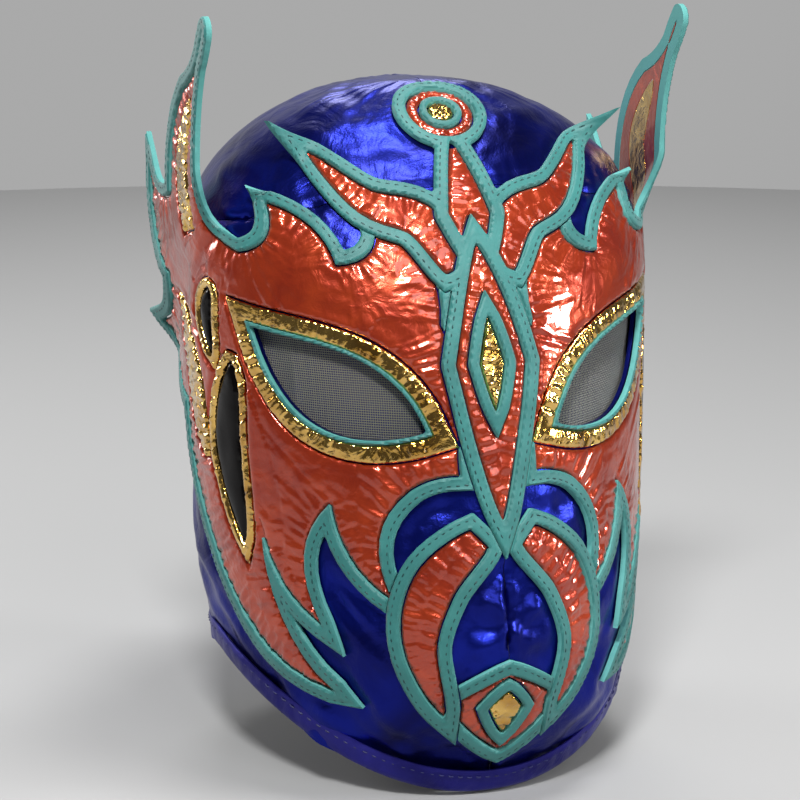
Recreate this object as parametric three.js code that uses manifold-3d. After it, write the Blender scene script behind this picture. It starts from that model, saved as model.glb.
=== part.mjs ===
// A laced wrestling mask: a leather hood of six panels with mesh eyes, and a face of padded frames
// with foil, gold and black inlays that are cut flat as patterns and laid on the hood.
// Millimetres, +Z up, the face looks along -Y, and the wearer's left side is +X.
// The origin is the inside of the crown, where the top of the head sits.

import * as THREE from "three";
import { mergeVertices } from "three/addons/utils/BufferGeometryUtils.js";
import Module from "manifold-3d";

const wasm = await Module();
wasm.setup();

// Driving dimensions of the hood.
const LEATHER = 1.5;
const HALF_WIDTH = 84;
const FRONT_REACH = 80;
const BACK_REACH = 104;
const HOOD_DEPTH = 246;
const EYE_LINE = 99;
const FRONT_HEM = HOOD_DEPTH;
const SIDE_HEM = 208;
const BACK_HEM = 214;
const SEAM_GAP = 0.3;
const HOOD_ROWS = 16;
const HOOD_COLUMNS = 32;

// Heights below the crown, and the plane behind the ears, where the panels are sewn together.
const FOREHEAD_SEAM_FRONT = 33;
const FOREHEAD_SEAM_BACK = 47;
const EAR_SEAM_Y = 52;

// How the crown rounds over: the depth at which each reach is full, and the roundness of the way there.
const CROWN = {
  side: { depth: 60, power: 2.0 },
  front: { depth: 106, power: 1.55 },
  back: { depth: 66, power: 2.2 },
};

// The hood below the crown, from the top down: each row's height is a share of HOOD_DEPTH, its reaches
// are shares of HALF_WIDTH, FRONT_REACH and BACK_REACH, and taper is how much the face narrows to the nose.
const HOOD_SECTIONS = [
  { below: 0.0, width: 1.0, front: 1.0, back: 1.0, taper: 0.0 },
  { below: 0.26, width: 1.0, front: 1.0, back: 1.0, taper: 0.03 },
  { below: 0.4, width: 1.0, front: 1.0, back: 1.0, taper: 0.15 },
  { below: 0.52, width: 0.995, front: 1.06, back: 0.98, taper: 0.2 },
  { below: 0.64, width: 0.975, front: 1.15, back: 0.89, taper: 0.2 },
  { below: 0.76, width: 0.94, front: 1.21, back: 0.79, taper: 0.16 },
  { below: 0.82, width: 0.915, front: 1.19, back: 0.75, taper: 0.12 },
  { below: 0.9, width: 0.88, front: 1.1, back: 0.71, taper: 0.06 },
  { below: 1.0, width: 0.84, front: 0.96, back: 0.68, taper: 0.02 },
];

// The stack of pieces on the hood: the clearance under each piece, and how far each one stands up.
const CLEARANCE = 0.5;
const FOIL = 1.0;
const GOLD = 1.2;
const PATENT = 0.8;
const PADDED = 2.6;
const MESH = 0.8;
const MESH_MARGIN = 5;
const BORDER = 5.2;

// The pattern: u runs out from the middle of the face, and v runs up from the eye line. Below the eye line,
// where it is drawn for a face of 147, its heights follow the face's real depth to the front hem.
const DROP_SHARE = (FRONT_HEM - EYE_LINE) / 147;

// Eye openings.
const EYE = {
  inner: [24, -15],
  outer: [86, 19],
  top: [[62, 15], [35, 15]],
  bottom: [[46, -22], [78, -22]],
};
const EYE_BINDING = 1.7;
const EYE_SURROUND = 8;

// Corners of a widened outline: the longest mitre, and the turn, in radians, below which a corner is a curve.
const MITRE_LIMIT = 2.6;
const SMOOTH_TURN = 0.6;

// The temple points leave the hood along a slanted line and stand in a plane beside the head.
const TEMPLE = { stand: 3, sideU: 122, riseFrom: 26, leaveV: 48, leaveU: 96, slant: 0.8, run: 30, inner: 40 };

// The edge of the foil field beside the eye, as curved stretches that meet at tips and valleys. Each row ends
// a stretch, and bulge is how far the stretch bows to its right, as a share of its length.
const SIDE_FIELD = [
  { at: [11, -8], bulge: 0.06 },
  { at: [17, 22], bulge: -0.05 },
  { at: [34, 62], bulge: -0.16 },
  { at: [50, 43], bulge: 0.26 },
  { at: [71, 66], bulge: -0.16 },
  { at: [86, 46], bulge: 0.24 },
  { at: [106, 82], bulge: 0.2 },
  { at: [88, 122], bulge: 0.08 },
  { at: [116, 100], bulge: 0.1 },
  { at: [138, 60], bulge: -0.14 },
  { at: [166, 66], bulge: 0.2 },
  { at: [146, 30], bulge: -0.16 },
  { at: [168, 8], bulge: 0.14 },
  { at: [136, -16], bulge: -0.16 },
  { at: [122, -64], bulge: -0.05 },
  { at: [62, -110], bulge: -0.14 },
  { at: [91, -52], bulge: 0.16 },
  { at: [68, -86], bulge: -0.14 },
  { at: [60, -41], bulge: 0.2 },
  { at: [40, -74], bulge: -0.14 },
  { at: [31, -35], bulge: 0.2 },
  { at: [14, -30], bulge: 0.08 },
];

// Flames of the pattern: a path from root to tip, and half widths at the root, half way and the tip.
const FANG = { path: [[9, -52], [25, -68], [31, -90], [21, -116]], root: 4, swell: 5, tip: 0 };
const CREST_FLAME = { path: [[8, 42], [18, 60], [36, 68], [52, 88]], root: 5, swell: 4, tip: 0 };
const GOLD_FLAMES = {
  upper: { path: [[116, 50], [122, 74], [108, 98]], root: 5, swell: 4, tip: 0 },
  lower: { path: [[118, -34], [127, -2], [140, 24]], root: 1, swell: 7, tip: 0 },
};
const BLACK_LEAVES = {
  long: { path: [[98, 4], [104, -26], [101, -62]], root: 0.4, swell: 6.5, tip: 0 },
  short: { path: [[106, 30], [111, 20], [109, 6]], root: 0.3, swell: 3.8, tip: 0 },
};
const GOLD_RIM = 4;

// Shapes on the middle line of the face: half widths at heights up the pattern.
const BRIDGE = { low: -46, high: 50, waist: 8, half: 12.5 };
const BRIDGE_GOLD = { low: -8, high: 24, waist: 8, half: 4.4 };
const TALL_FLAME = { low: 44, high: 92, waist: 62, half: 7.5 };
const CHIN = { low: -132, high: -100, waist: -112, half: 20 };
const CHIN_GOLD = { low: -124, high: -106, waist: -113, half: 6 };
const DISC = { v: 106, frame: 17, foil: 12, ring: 7.6, gold: 4.6 };

// How finely outlines are divided, and how far the edges of a laid piece may stray from the hood.
const EYE_STEPS = 7;
const SPINDLE_STEPS = 7;
const DISC_SIDES = 18;
const RIBBON_STEPS = 5;
const STRETCH_STEPS = 3;
const LONGEST_EDGE = 45;
const SHORTEST_SPLIT = 8;
const MOST_SAG = 0.4;
const SPLIT_ROUNDS = 5;

// Sizes beyond those of any piece, for solids that only cut.
const TALL = 20;
const FAR = 2 * HOOD_DEPTH;
const EVERYWHERE = [[-FAR, -FAR], [FAR, -FAR], [FAR, FAR], [-FAR, FAR]];

// The laced back: a slit with a row of eyelets on each side, a tongue inside it and one lace.
const SLIT = { half: 5, top: 80 };
const EYELET = { rows: 6, first: 92, pitch: 21, u: 12, hole: 2.9, rim: 4.6, height: 0.9, sides: 8 };
const LACE = { radius: 1.3, sides: 4, steps: 1 };
const TONGUE = { half: 21, top: 66, thickness: 1.3, rows: 9, columns: 5 };
const HEM = { width: 9, thickness: 1.2 };

const COLOURS = {
  blue: { color: 0x10128a, roughness: 0.38, metalness: 0.55 },
  teal: { color: 0x2a9c92, roughness: 0.5, metalness: 0.0 },
  foil: { color: 0xc23a1c, roughness: 0.25, metalness: 0.7 },
  gold: { color: 0xc79a3a, roughness: 0.22, metalness: 1.0 },
  black: { color: 0x050506, roughness: 0.15, metalness: 0.0 },
  mesh: { color: 0x55575a, roughness: 0.4, metalness: 0.8 },
  lace: { color: 0x121520, roughness: 0.8, metalness: 0.0 },
};

const clamp01 = (x) => Math.min(1, Math.max(0, x));
const smooth = (x) => clamp01(x) ** 2 * (3 - 2 * clamp01(x));
const lerp = (a, b, t) => a + (b - a) * t;

// Solids: a closed three.js geometry becomes a solid, and a solid becomes a mesh's geometry.
function toSolid(geometry) {
  const loose = geometry.index ? geometry.toNonIndexed() : geometry;
  const bare = new THREE.BufferGeometry().setAttribute("position", loose.getAttribute("position"));
  const merged = mergeVertices(bare, 1e-4);
  return new wasm.Manifold(
    new wasm.Mesh({
      numProp: 3,
      vertProperties: new Float32Array(merged.attributes.position.array),
      triVerts: new Uint32Array(merged.index.array),
    }),
  );
}

function toGeometry(solid) {
  const mesh = solid.getMesh();
  return new THREE.BufferGeometry()
    .setAttribute("position", new THREE.BufferAttribute(new Float32Array(mesh.vertProperties), 3))
    .setIndex(new THREE.BufferAttribute(new Uint32Array(mesh.triVerts), 1));
}

const joined = (solids) => solids.reduce((whole, next) => whole.add(next));

// The hood's outer form.
function crownShare(below, { depth, power }) {
  return below >= depth ? 1 : (1 - (1 - Math.max(0, below) / depth) ** power) ** (1 / power);
}

// A smooth curve through one column of the sections table.
function sectionValue(column, below) {
  const share = clamp01(below / HOOD_DEPTH);
  const next = HOOD_SECTIONS.findIndex((row) => row.below >= share);
  const index = Math.max(1, next);
  const row = (i) => HOOD_SECTIONS[Math.min(HOOD_SECTIONS.length - 1, Math.max(0, i))];
  const [before, from, to, after] = [index - 2, index - 1, index, index + 1].map(row);
  const span = to.below - from.below;
  const slope = (a, b) => ((b[column] - a[column]) / Math.max(1e-6, b.below - a.below)) * span;
  const t = (share - from.below) / span;
  const [leaving, arriving] = [slope(before, to), slope(from, after)];
  const rise = to[column] - from[column];
  const squared = (3 * rise - 2 * leaving - arriving) * t ** 2;
  const cubed = (leaving + arriving - 2 * rise) * t ** 3;
  return from[column] + leaving * t + squared + cubed;
}

function sectionAt(below) {
  return {
    width: HALF_WIDTH * sectionValue("width", below) * crownShare(below, CROWN.side),
    front: FRONT_REACH * sectionValue("front", below) * crownShare(below, CROWN.front),
    back: BACK_REACH * sectionValue("back", below) * crownShare(below, CROWN.back),
    taper: sectionValue("taper", below),
  };
}

// A point of the hood at an angle round it, 0 in front, and a depth below the crown.
function hoodPoint(angle, below) {
  const { width, front, back, taper } = sectionAt(below);
  const [across, along] = [Math.sin(angle), Math.cos(angle)];
  const narrowed = along > 0 ? 1 - taper * along ** 2 : 1;
  return new THREE.Vector3(width * across * narrowed, -along * (along > 0 ? front : back), LEATHER - below);
}

function hoodNormal(angle, below) {
  const step = 0.02;
  const round = hoodPoint(angle + step, below).sub(hoodPoint(angle - step, below));
  const down = hoodPoint(angle, below + 1).sub(hoodPoint(angle, Math.max(0, below - 1)));
  return down.cross(round).normalize();
}

const hoodOffset = (angle, below, out) =>
  hoodPoint(angle, below).addScaledVector(hoodNormal(angle, below), out);

function hemBelow(angle) {
  const facing = Math.cos(angle);
  const front = (FRONT_HEM - SIDE_HEM) * Math.max(0, facing) ** 1.3;
  const back = (BACK_HEM - SIDE_HEM) * Math.max(0, -facing) ** 2;
  return SIDE_HEM + front + back;
}

function seamBelow(angle) {
  const facing = Math.max(0, Math.cos(angle));
  return FOREHEAD_SEAM_BACK - (FOREHEAD_SEAM_BACK - FOREHEAD_SEAM_FRONT) * facing ** 2;
}

// Lookup of lengths along a curve: the parameter at which the curve has run a given length.
function lengthTable(point, from, to, steps) {
  const rows = [{ at: from, length: 0 }];
  let last = point(from);
  for (let i = 1; i <= steps; i++) {
    const at = lerp(from, to, i / steps);
    const here = point(at);
    rows.push({ at, length: rows[i - 1].length + here.distanceTo(last) });
    last = here;
  }
  return rows;
}

function atLength(rows, length) {
  let high = rows.findIndex((row) => row.length >= length);
  if (high < 0) high = rows.length - 1;
  const [from, to] = [rows[Math.max(0, high - 1)], rows[Math.max(1, high)]];
  return lerp(from.at, to.at, (length - from.length) / (to.length - from.length));
}

// Pattern coordinates: v is a length up the middle of the face, u a length round the hood at that height.
const UP_FROM_EYES = lengthTable((below) => hoodPoint(0, below), EYE_LINE, 0.5, 120);
const DOWN_FROM_EYES = lengthTable((below) => hoodPoint(0, below), EYE_LINE, HOOD_DEPTH, 120);
const ROUND_STEPS = 90;
const roundTables = new Map();

function roundTable(step) {
  if (!roundTables.has(step)) {
    roundTables.set(step, lengthTable((angle) => hoodPoint(angle, step / 4), 0, Math.PI, ROUND_STEPS));
  }
  return roundTables.get(step);
}

function angleAt(u, below) {
  const step = Math.floor(below * 4);
  const [upper, lower] = [roundTable(step), roundTable(step + 1)].map((rows) => atLength(rows, Math.abs(u)));
  return Math.sign(u) * lerp(upper, lower, below * 4 - step);
}

function belowAt(v) {
  return v >= 0 ? Math.max(1, atLength(UP_FROM_EYES, v)) : atLength(DOWN_FROM_EYES, -v * DROP_SHARE);
}

// Where a pattern point lies: on the hood, or in the plane of the temple points where it stands clear.
function carrierPoint(u, v) {
  const below = belowAt(v);
  const onHood = hoodPoint(angleAt(u, below), below);
  const beyond = v - TEMPLE.leaveV + TEMPLE.slant * (Math.abs(u) - TEMPLE.leaveU);
  const away = smooth(beyond / TEMPLE.run) * smooth(Math.abs(u) / TEMPLE.inner - 1);
  const height = LEATHER - belowAt(Math.min(v, TEMPLE.riseFrom)) + Math.max(0, v - TEMPLE.riseFrom);
  const aside = Math.sign(u) * (HALF_WIDTH + TEMPLE.stand);
  const standing = new THREE.Vector3(aside, Math.abs(u) - TEMPLE.sideU, height);
  return onHood.lerp(standing, away);
}

function carrierOffset(u, v, out) {
  const step = 0.4;
  const across = carrierPoint(u + step, v).sub(carrierPoint(u - step, v));
  const up = carrierPoint(u, v + step).sub(carrierPoint(u, v - step));
  return carrierPoint(u, v).addScaledVector(across.cross(up).normalize(), out);
}

// A flat solid with every edge split until it bends with the hood: its x and y are pattern coordinates, and
// its z stands out from the leather.
function laidOnHood(flatSolid) {
  const mesh = toGeometry(flatSolid);
  const flat = [];
  const laid = [];
  const addPoint = (point) => {
    laid.push(carrierOffset(point.x, point.y, point.z));
    return flat.push(point) - 1;
  };
  for (let i = 0; i < mesh.attributes.position.count; i++) {
    addPoint(new THREE.Vector3().fromBufferAttribute(mesh.attributes.position, i));
  }
  const sag = (a, b, share) => {
    const bent = flat[a].clone().lerp(flat[b], share);
    return carrierOffset(bent.x, bent.y, bent.z).distanceTo(laid[a].clone().lerp(laid[b], share));
  };
  const splitPoint = (a, b) => {
    const length = flat[a].distanceTo(flat[b]);
    const bends = length > SHORTEST_SPLIT && [0.25, 0.5, 0.75].some((share) => sag(a, b, share) > MOST_SAG);
    return bends || length > LONGEST_EDGE ? addPoint(flat[a].clone().lerp(flat[b], 0.5)) : -1;
  };
  let triangles = [];
  const index = mesh.index.array;
  for (let i = 0; i < index.length; i += 3) triangles.push([index[i], index[i + 1], index[i + 2]]);
  for (let round = 0; round < SPLIT_ROUNDS; round++) {
    const middles = new Map();
    const middle = (a, b) => {
      const key = a < b ? `${a},${b}` : `${b},${a}`;
      if (!middles.has(key)) middles.set(key, splitPoint(a, b));
      return middles.get(key);
    };
    triangles = triangles.flatMap(([a, b, c]) => {
      return split([a, b, c], [middle(a, b), middle(b, c), middle(c, a)]);
    });
  }
  const positions = new Float32Array(laid.flatMap((point) => point.toArray()));
  return new THREE.BufferGeometry()
    .setAttribute("position", new THREE.BufferAttribute(positions, 3))
    .setIndex(triangles.flat());
}

// The parts of a triangle after some of its edges are split; -1 marks an edge that stays whole.
function split([a, b, c], [ab, bc, ca]) {
  const count = [ab, bc, ca].filter((middle) => middle >= 0).length;
  if (count === 0) return [[a, b, c]];
  if (count === 3) return [[a, ab, ca], [ab, b, bc], [ca, bc, c], [ab, bc, ca]];
  if (count === 1 && ab >= 0) return [[a, ab, c], [ab, b, c]];
  if (count === 1 && bc >= 0) return [[b, bc, a], [bc, c, a]];
  if (count === 1) return [[c, ca, b], [ca, a, b]];
  if (ab < 0) return [[c, ca, bc], [ca, a, bc], [a, b, bc]];
  if (bc < 0) return [[a, ab, ca], [ab, b, ca], [b, c, ca]];
  return [[b, bc, ab], [bc, c, ab], [c, a, ab]];
}

// Pattern outlines, as lists of [u, v].
const asVectors = (outline) => outline.map(([u, v]) => new THREE.Vector2(u, v));
const mirrored = (outline) => outline.map(([u, v]) => [-u, v]).reverse();

function ribbon({ path, root, swell, tip }) {
  const curve = new THREE.SplineCurve(asVectors(path));
  const left = [];
  const right = [];
  for (let i = 0; i <= RIBBON_STEPS; i++) {
    const t = i / RIBBON_STEPS;
    const half = lerp(root, tip, t) + 4 * swell * t * (1 - t);
    const along = curve.getTangent(t);
    const at = curve.getPoint(t);
    const across = new THREE.Vector2(-along.y, along.x).multiplyScalar(half);
    left.push(at.clone().add(across).toArray());
    if (half > 0) right.unshift(at.clone().sub(across).toArray());
  }
  return [...right, ...left];
}

function stretches(rows) {
  return rows.flatMap(({ at, bulge }, i) => {
    const from = new THREE.Vector2(...rows.at(i - 1).at);
    const to = new THREE.Vector2(...at);
    const along = to.clone().sub(from);
    const bow = new THREE.Vector2(along.y, -along.x).multiplyScalar(2 * bulge);
    const control = from.clone().lerp(to, 0.5).add(bow);
    const points = new THREE.QuadraticBezierCurve(from, control, to).getPoints(STRETCH_STEPS);
    return points.slice(1).map((point) => point.toArray());
  });
}

// A spindle on the middle line, pointed at both ends and widest at its waist.
function spindle({ low, high, waist, half }) {
  const side = [];
  for (let i = 1; i < 2 * SPINDLE_STEPS; i++) {
    const down = i < SPINDLE_STEPS;
    const t = down ? i / SPINDLE_STEPS : (2 * SPINDLE_STEPS - i) / SPINDLE_STEPS;
    const v = down ? lerp(low, waist, t) : lerp(high, waist, t);
    side.push([half * t ** 0.85 * (1.12 - 0.12 * t), v]);
  }
  return [[0, low], ...side, [0, high], ...side.map(([u, v]) => [-u, v]).reverse()];
}

function disc(v, radius) {
  return Array.from({ length: DISC_SIDES }, (_, i) => {
    const angle = (2 * Math.PI * (i + 0.5)) / DISC_SIDES;
    return [radius * Math.cos(angle), v + radius * Math.sin(angle)];
  });
}

function eyeOutline() {
  const at = ([u, v]) => new THREE.Vector2(u, v);
  const top = new THREE.CubicBezierCurve(at(EYE.outer), ...EYE.top.map(at), at(EYE.inner));
  const bottom = new THREE.CubicBezierCurve(at(EYE.inner), ...EYE.bottom.map(at), at(EYE.outer));
  const points = [...top.getPoints(EYE_STEPS).slice(0, -1), ...bottom.getPoints(EYE_STEPS).slice(0, -1)];
  return points.map((p) => p.toArray());
}

const turnsLeft = (outline) => !THREE.ShapeUtils.isClockWise(asVectors(outline));

// A flat plate with an outline, standing from one height to another.
function plate(outline, low, high) {
  const shape = new THREE.Shape(asVectors(outline));
  const geometry = new THREE.ExtrudeGeometry(shape, { depth: high - low, bevelEnabled: false });
  return toSolid(geometry.translate(0, 0, low));
}

// A tall solid over an outline and all that lies within a distance of it, to cut or to keep with. Outer
// corners are mitred, and inner corners stay sharp.
function area(outline, reach = 0) {
  const tall = (points) => plate(points, -TALL, TALL);
  if (!reach) return tall(outline);
  const loop = asVectors(turnsLeft(outline) ? outline : [...outline].reverse());
  const sides = loop.map((at, i) => {
    const along = loop[(i + 1) % loop.length].clone().sub(at).normalize();
    return new THREE.Vector2(along.y, -along.x);
  });
  const corners = loop.map((at, i) => {
    const [before, after] = [sides.at(i - 1), sides[i]];
    const turn = Math.asin(Math.max(-1, Math.min(1, before.cross(after))));
    const bend = before.dot(after) < 0 ? Math.sign(turn) * Math.PI - turn : turn;
    const sum = before.clone().add(after);
    const mitre = Math.min(MITRE_LIMIT, 2 / Math.max(0.01, sum.length()));
    return { at, bend, tip: at.clone().addScaledVector(sum.normalize(), reach * mitre) };
  });
  const strips = corners.map((corner, i) => {
    const next = corners[(i + 1) % corners.length];
    const end = ({ at, bend, tip }) =>
      Math.abs(bend) < SMOOTH_TURN ? tip : at.clone().addScaledVector(sides[i], reach);
    return tall([corner.at, end(corner), end(next), next.at].map((at) => at.toArray()));
  });
  const kites = corners.flatMap(({ at, bend, tip }, i) => {
    if (bend < SMOOTH_TURN) return [];
    const ends = [sides.at(i - 1), sides[i]].map((side) => at.clone().addScaledVector(side, reach));
    return [tall([at, ends[0], tip, ends[1]].map((point) => point.toArray()))];
  });
  return joined([tall(outline), ...strips, ...kites]);
}

const between = (low, high) => plate(EVERYWHERE, low, high);
const layer = (thickness) => between(CLEARANCE, CLEARANCE + thickness);
const without = (solid, others) => others.reduce((rest, other) => rest.subtract(other), solid);
const piece = (thickness, zone, ...others) => largest(without(layer(thickness).intersect(zone), others));

// The largest body of a solid, without the crumbs that cuts leave beside it.
function largest(solid) {
  return solid.decompose().reduce((best, body) => (body.volume() > best.volume() ? body : best));
}

// A closed slab from a grid of places: at(row, column, side) gives a point of its outer face, side 0, or its
// inner face, side 1. A slab that closes on itself joins its last column to its first.
function slab(rows, columns, at, closes = false) {
  const across = closes ? columns : columns + 1;
  const positions = [];
  const triangles = [];
  const id = (row, column, side) => (side * (rows + 1) + row) * across + (column % across);
  const quad = (a, b, c, d) => triangles.push(a, b, c, a, c, d);
  for (const side of [0, 1]) {
    for (let row = 0; row <= rows; row++) {
      for (let column = 0; column < across; column++) positions.push(...at(row, column, side).toArray());
    }
  }
  for (let column = 0; column < columns; column++) {
    const next = column + 1;
    for (let row = 0; row < rows; row++) {
      quad(id(row, column, 0), id(row + 1, column, 0), id(row + 1, next, 0), id(row, next, 0));
      quad(id(row, column, 1), id(row, next, 1), id(row + 1, next, 1), id(row + 1, column, 1));
    }
    quad(id(0, column, 0), id(0, next, 0), id(0, next, 1), id(0, column, 1));
    quad(id(rows, column, 0), id(rows, column, 1), id(rows, next, 1), id(rows, next, 0));
  }
  for (let row = 0; row < rows && !closes; row++) {
    quad(id(row, 0, 0), id(row, 0, 1), id(row + 1, 0, 1), id(row + 1, 0, 0));
    quad(id(row, columns, 0), id(row + 1, columns, 0), id(row + 1, columns, 1), id(row, columns, 1));
  }
  return new THREE.BufferGeometry()
    .setAttribute("position", new THREE.BufferAttribute(new Float32Array(positions), 3))
    .setIndex(triangles);
}

// The whole hood as one closed shell, an outer and an inner dome that meet at the hem.
function hoodShell() {
  const meridian = lengthTable((below) => hoodPoint(Math.PI / 3, below), 0, SIDE_HEM, 160);
  const total = meridian.at(-1).length;
  const positions = [];
  const triangles = [];
  const apex = (side) => side * (1 + HOOD_ROWS * HOOD_COLUMNS);
  const id = (side, row, column) => apex(side) + 1 + (row - 1) * HOOD_COLUMNS + (column % HOOD_COLUMNS);
  for (const side of [0, 1]) {
    positions.push(0, 0, LEATHER * (1 - side));
    for (let row = 1; row <= HOOD_ROWS; row++) {
      const share = atLength(meridian, (total * row) / HOOD_ROWS) / SIDE_HEM;
      for (let column = 0; column < HOOD_COLUMNS; column++) {
        const angle = (2 * Math.PI * column) / HOOD_COLUMNS;
        positions.push(...hoodOffset(angle, share * hemBelow(angle), -side * LEATHER).toArray());
      }
    }
  }
  const quad = (a, b, c, d) => triangles.push(a, b, c, a, c, d);
  for (let column = 0; column < HOOD_COLUMNS; column++) {
    const next = column + 1;
    triangles.push(apex(0), id(0, 1, column), id(0, 1, next));
    triangles.push(apex(1), id(1, 1, next), id(1, 1, column));
    for (let row = 1; row < HOOD_ROWS; row++) {
      quad(id(0, row, column), id(0, row + 1, column), id(0, row + 1, next), id(0, row, next));
      quad(id(1, row, column), id(1, row, next), id(1, row + 1, next), id(1, row + 1, column));
    }
    quad(id(0, HOOD_ROWS, column), id(1, HOOD_ROWS, column), id(1, HOOD_ROWS, next), id(0, HOOD_ROWS, next));
  }
  return toSolid(
    new THREE.BufferGeometry()
      .setAttribute("position", new THREE.BufferAttribute(new Float32Array(positions), 3))
      .setIndex(triangles),
  );
}

// Thin blades that part the panels: the middle line, the seam over the forehead and the seams at the ears.
function seamBlades() {
  const reach = 3 * LEATHER;
  const tall = 2 * HOOD_DEPTH;
  const middle = toSolid(new THREE.BoxGeometry(SEAM_GAP, 2 * tall, 2 * tall));
  const round = slab(
    1,
    HOOD_COLUMNS,
    (row, column, side) => {
      const angle = (2 * Math.PI * column) / HOOD_COLUMNS;
      return hoodOffset(angle, seamBelow(angle) + (row - 0.5) * SEAM_GAP, side ? -reach : reach);
    },
    true,
  );
  const earHeight = LEATHER - FOREHEAD_SEAM_BACK;
  const ears = new THREE.BoxGeometry(tall, SEAM_GAP, tall).translate(0, EAR_SEAM_Y, earHeight - tall / 2);
  return [middle, toSolid(round), toSolid(ears)];
}

// Places on the laced back: u runs out from the middle of the back.
function backAngle(u, below) {
  const whole = roundTable(Math.round(below * 4)).at(-1).length;
  return Math.sign(u || 1) * angleAt(whole - Math.abs(u), below);
}

const eyeletBelow = (row) => EYELET.first + row * EYELET.pitch;
const onBack = (u, below, out) => hoodOffset(backAngle(u, below), below, out);

// A turned piece whose axis, its own +Y, is set along the leather's normal on the laced back.
function setOnBack(geometry, u, below, out) {
  const normal = hoodNormal(backAngle(u, below), below);
  const turn = new THREE.Quaternion().setFromUnitVectors(new THREE.Vector3(0, 1, 0), normal);
  const place = onBack(u, below, out);
  return geometry.clone().applyQuaternion(turn).translate(place.x, place.y, place.z);
}

function eyeletPlaces() {
  const rows = Array.from({ length: EYELET.rows }, (_, row) => eyeletBelow(row));
  return rows.flatMap((below) => [-1, 1].map((side) => ({ u: side * EYELET.u, below })));
}

function hoodPanels(eyePlugs) {
  const punch = new THREE.CylinderGeometry(EYELET.hole + 0.3, EYELET.hole + 0.3, 6 * LEATHER, EYELET.sides);
  const punches = eyeletPlaces().map(({ u, below }) => toSolid(setOnBack(punch, u, below, -LEATHER / 2)));
  const cuts = [...seamBlades(), slitCutter(), ...punches, ...eyePlugs];
  const panels = cuts.reduce((shell, cut) => shell.subtract(cut), hoodShell()).decompose();
  return panels.map((panel) => {
    const geometry = toGeometry(panel);
    geometry.computeBoundingBox();
    const { min, max } = geometry.boundingBox;
    const zone = min.z > -FOREHEAD_SEAM_BACK - 5 ? "crown" : min.y + max.y < 0 ? "face" : "nape";
    return { name: `${zone}_panel_${min.x + max.x > 0 ? "left" : "right"}`, geometry };
  });
}

function slitCutter() {
  const box = new THREE.BoxGeometry(2 * SLIT.half, 2 * BACK_REACH, HOOD_DEPTH);
  return toSolid(box.translate(0, BACK_REACH, LEATHER - SLIT.top - HOOD_DEPTH / 2));
}

function hemBinding() {
  const ring = slab(
    1,
    HOOD_COLUMNS,
    (row, column, side) => {
      const angle = (2 * Math.PI * column) / HOOD_COLUMNS;
      const out = CLEARANCE + (side ? 0 : HEM.thickness);
      return hoodOffset(angle, hemBelow(angle) - HEM.width * (1 - row), out);
    },
    true,
  );
  return toGeometry(toSolid(ring).subtract(slitCutter()));
}

function tongue() {
  return slab(TONGUE.rows, TONGUE.columns, (row, column, side) => {
    const share = row / TONGUE.rows;
    const below = lerp(TONGUE.top, BACK_HEM - HEM.width / 2, share);
    const u = lerp(TONGUE.half, -TONGUE.half, column / TONGUE.columns);
    const under = LEATHER + 2 * CLEARANCE + LACE.radius * smooth(3 * share);
    return onBack(u, below, -under - (side ? TONGUE.thickness : 0));
  });
}

function eyelet() {
  const { hole, rim, height, sides } = EYELET;
  const profile = [[hole, 0], [rim, 0], [rim - 0.7, height], [hole + 0.4, height], [hole, 0]];
  return new THREE.LatheGeometry(profile.map(([r, h]) => new THREE.Vector2(r, h)), sides);
}

// The lace: a bar across the top and bottom rows and a cross between each pair of rows, in one piece.
function lace() {
  const section = new THREE.Shape(
    Array.from({ length: LACE.sides }, (_, i) => {
      const angle = (2 * Math.PI * i) / LACE.sides;
      return new THREE.Vector2(LACE.radius * Math.cos(angle), LACE.radius * Math.sin(angle));
    }),
  );
  const over = CLEARANCE + EYELET.height + LACE.radius + CLEARANCE;
  const run = (from, to) => {
    const below = (u) => lerp(eyeletBelow(from), eyeletBelow(to), (u / EYELET.u + 1) / 2);
    const bend = EYELET.u - LACE.radius * 1.6;
    const stops = [
      [-EYELET.u, -LEATHER - LACE.radius * 0.6],
      [-EYELET.u, EYELET.height + 0.3],
      [-bend, over + 0.1],
      [0, over],
      [bend, over + 0.1],
      [EYELET.u, EYELET.height + 0.3],
      [EYELET.u, -LEATHER - LACE.radius * 0.6],
    ];
    const points = stops.map(([u, out]) => onBack(u, below(u), out));
    const path = new THREE.CatmullRomCurve3(points, false, "centripetal");
    const steps = LACE.steps * (stops.length - 1);
    return new THREE.ExtrudeGeometry(section, { steps, extrudePath: path, bevelEnabled: false });
  };
  const last = EYELET.rows - 1;
  const pairs = [[0, 0], [last, last]];
  for (let row = 0; row < last; row++) pairs.push([row, row + 1], [row + 1, row]);
  const knotPlace = onBack(0, eyeletBelow(last), over + LACE.radius * 0.5);
  const knot = new THREE.IcosahedronGeometry(LACE.radius * 2.2, 1);
  knot.translate(knotPlace.x, knotPlace.y, knotPlace.z);
  return toGeometry(joined([...pairs.map(([from, to]) => toSolid(run(from, to))), toSolid(knot)]));
}

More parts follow.
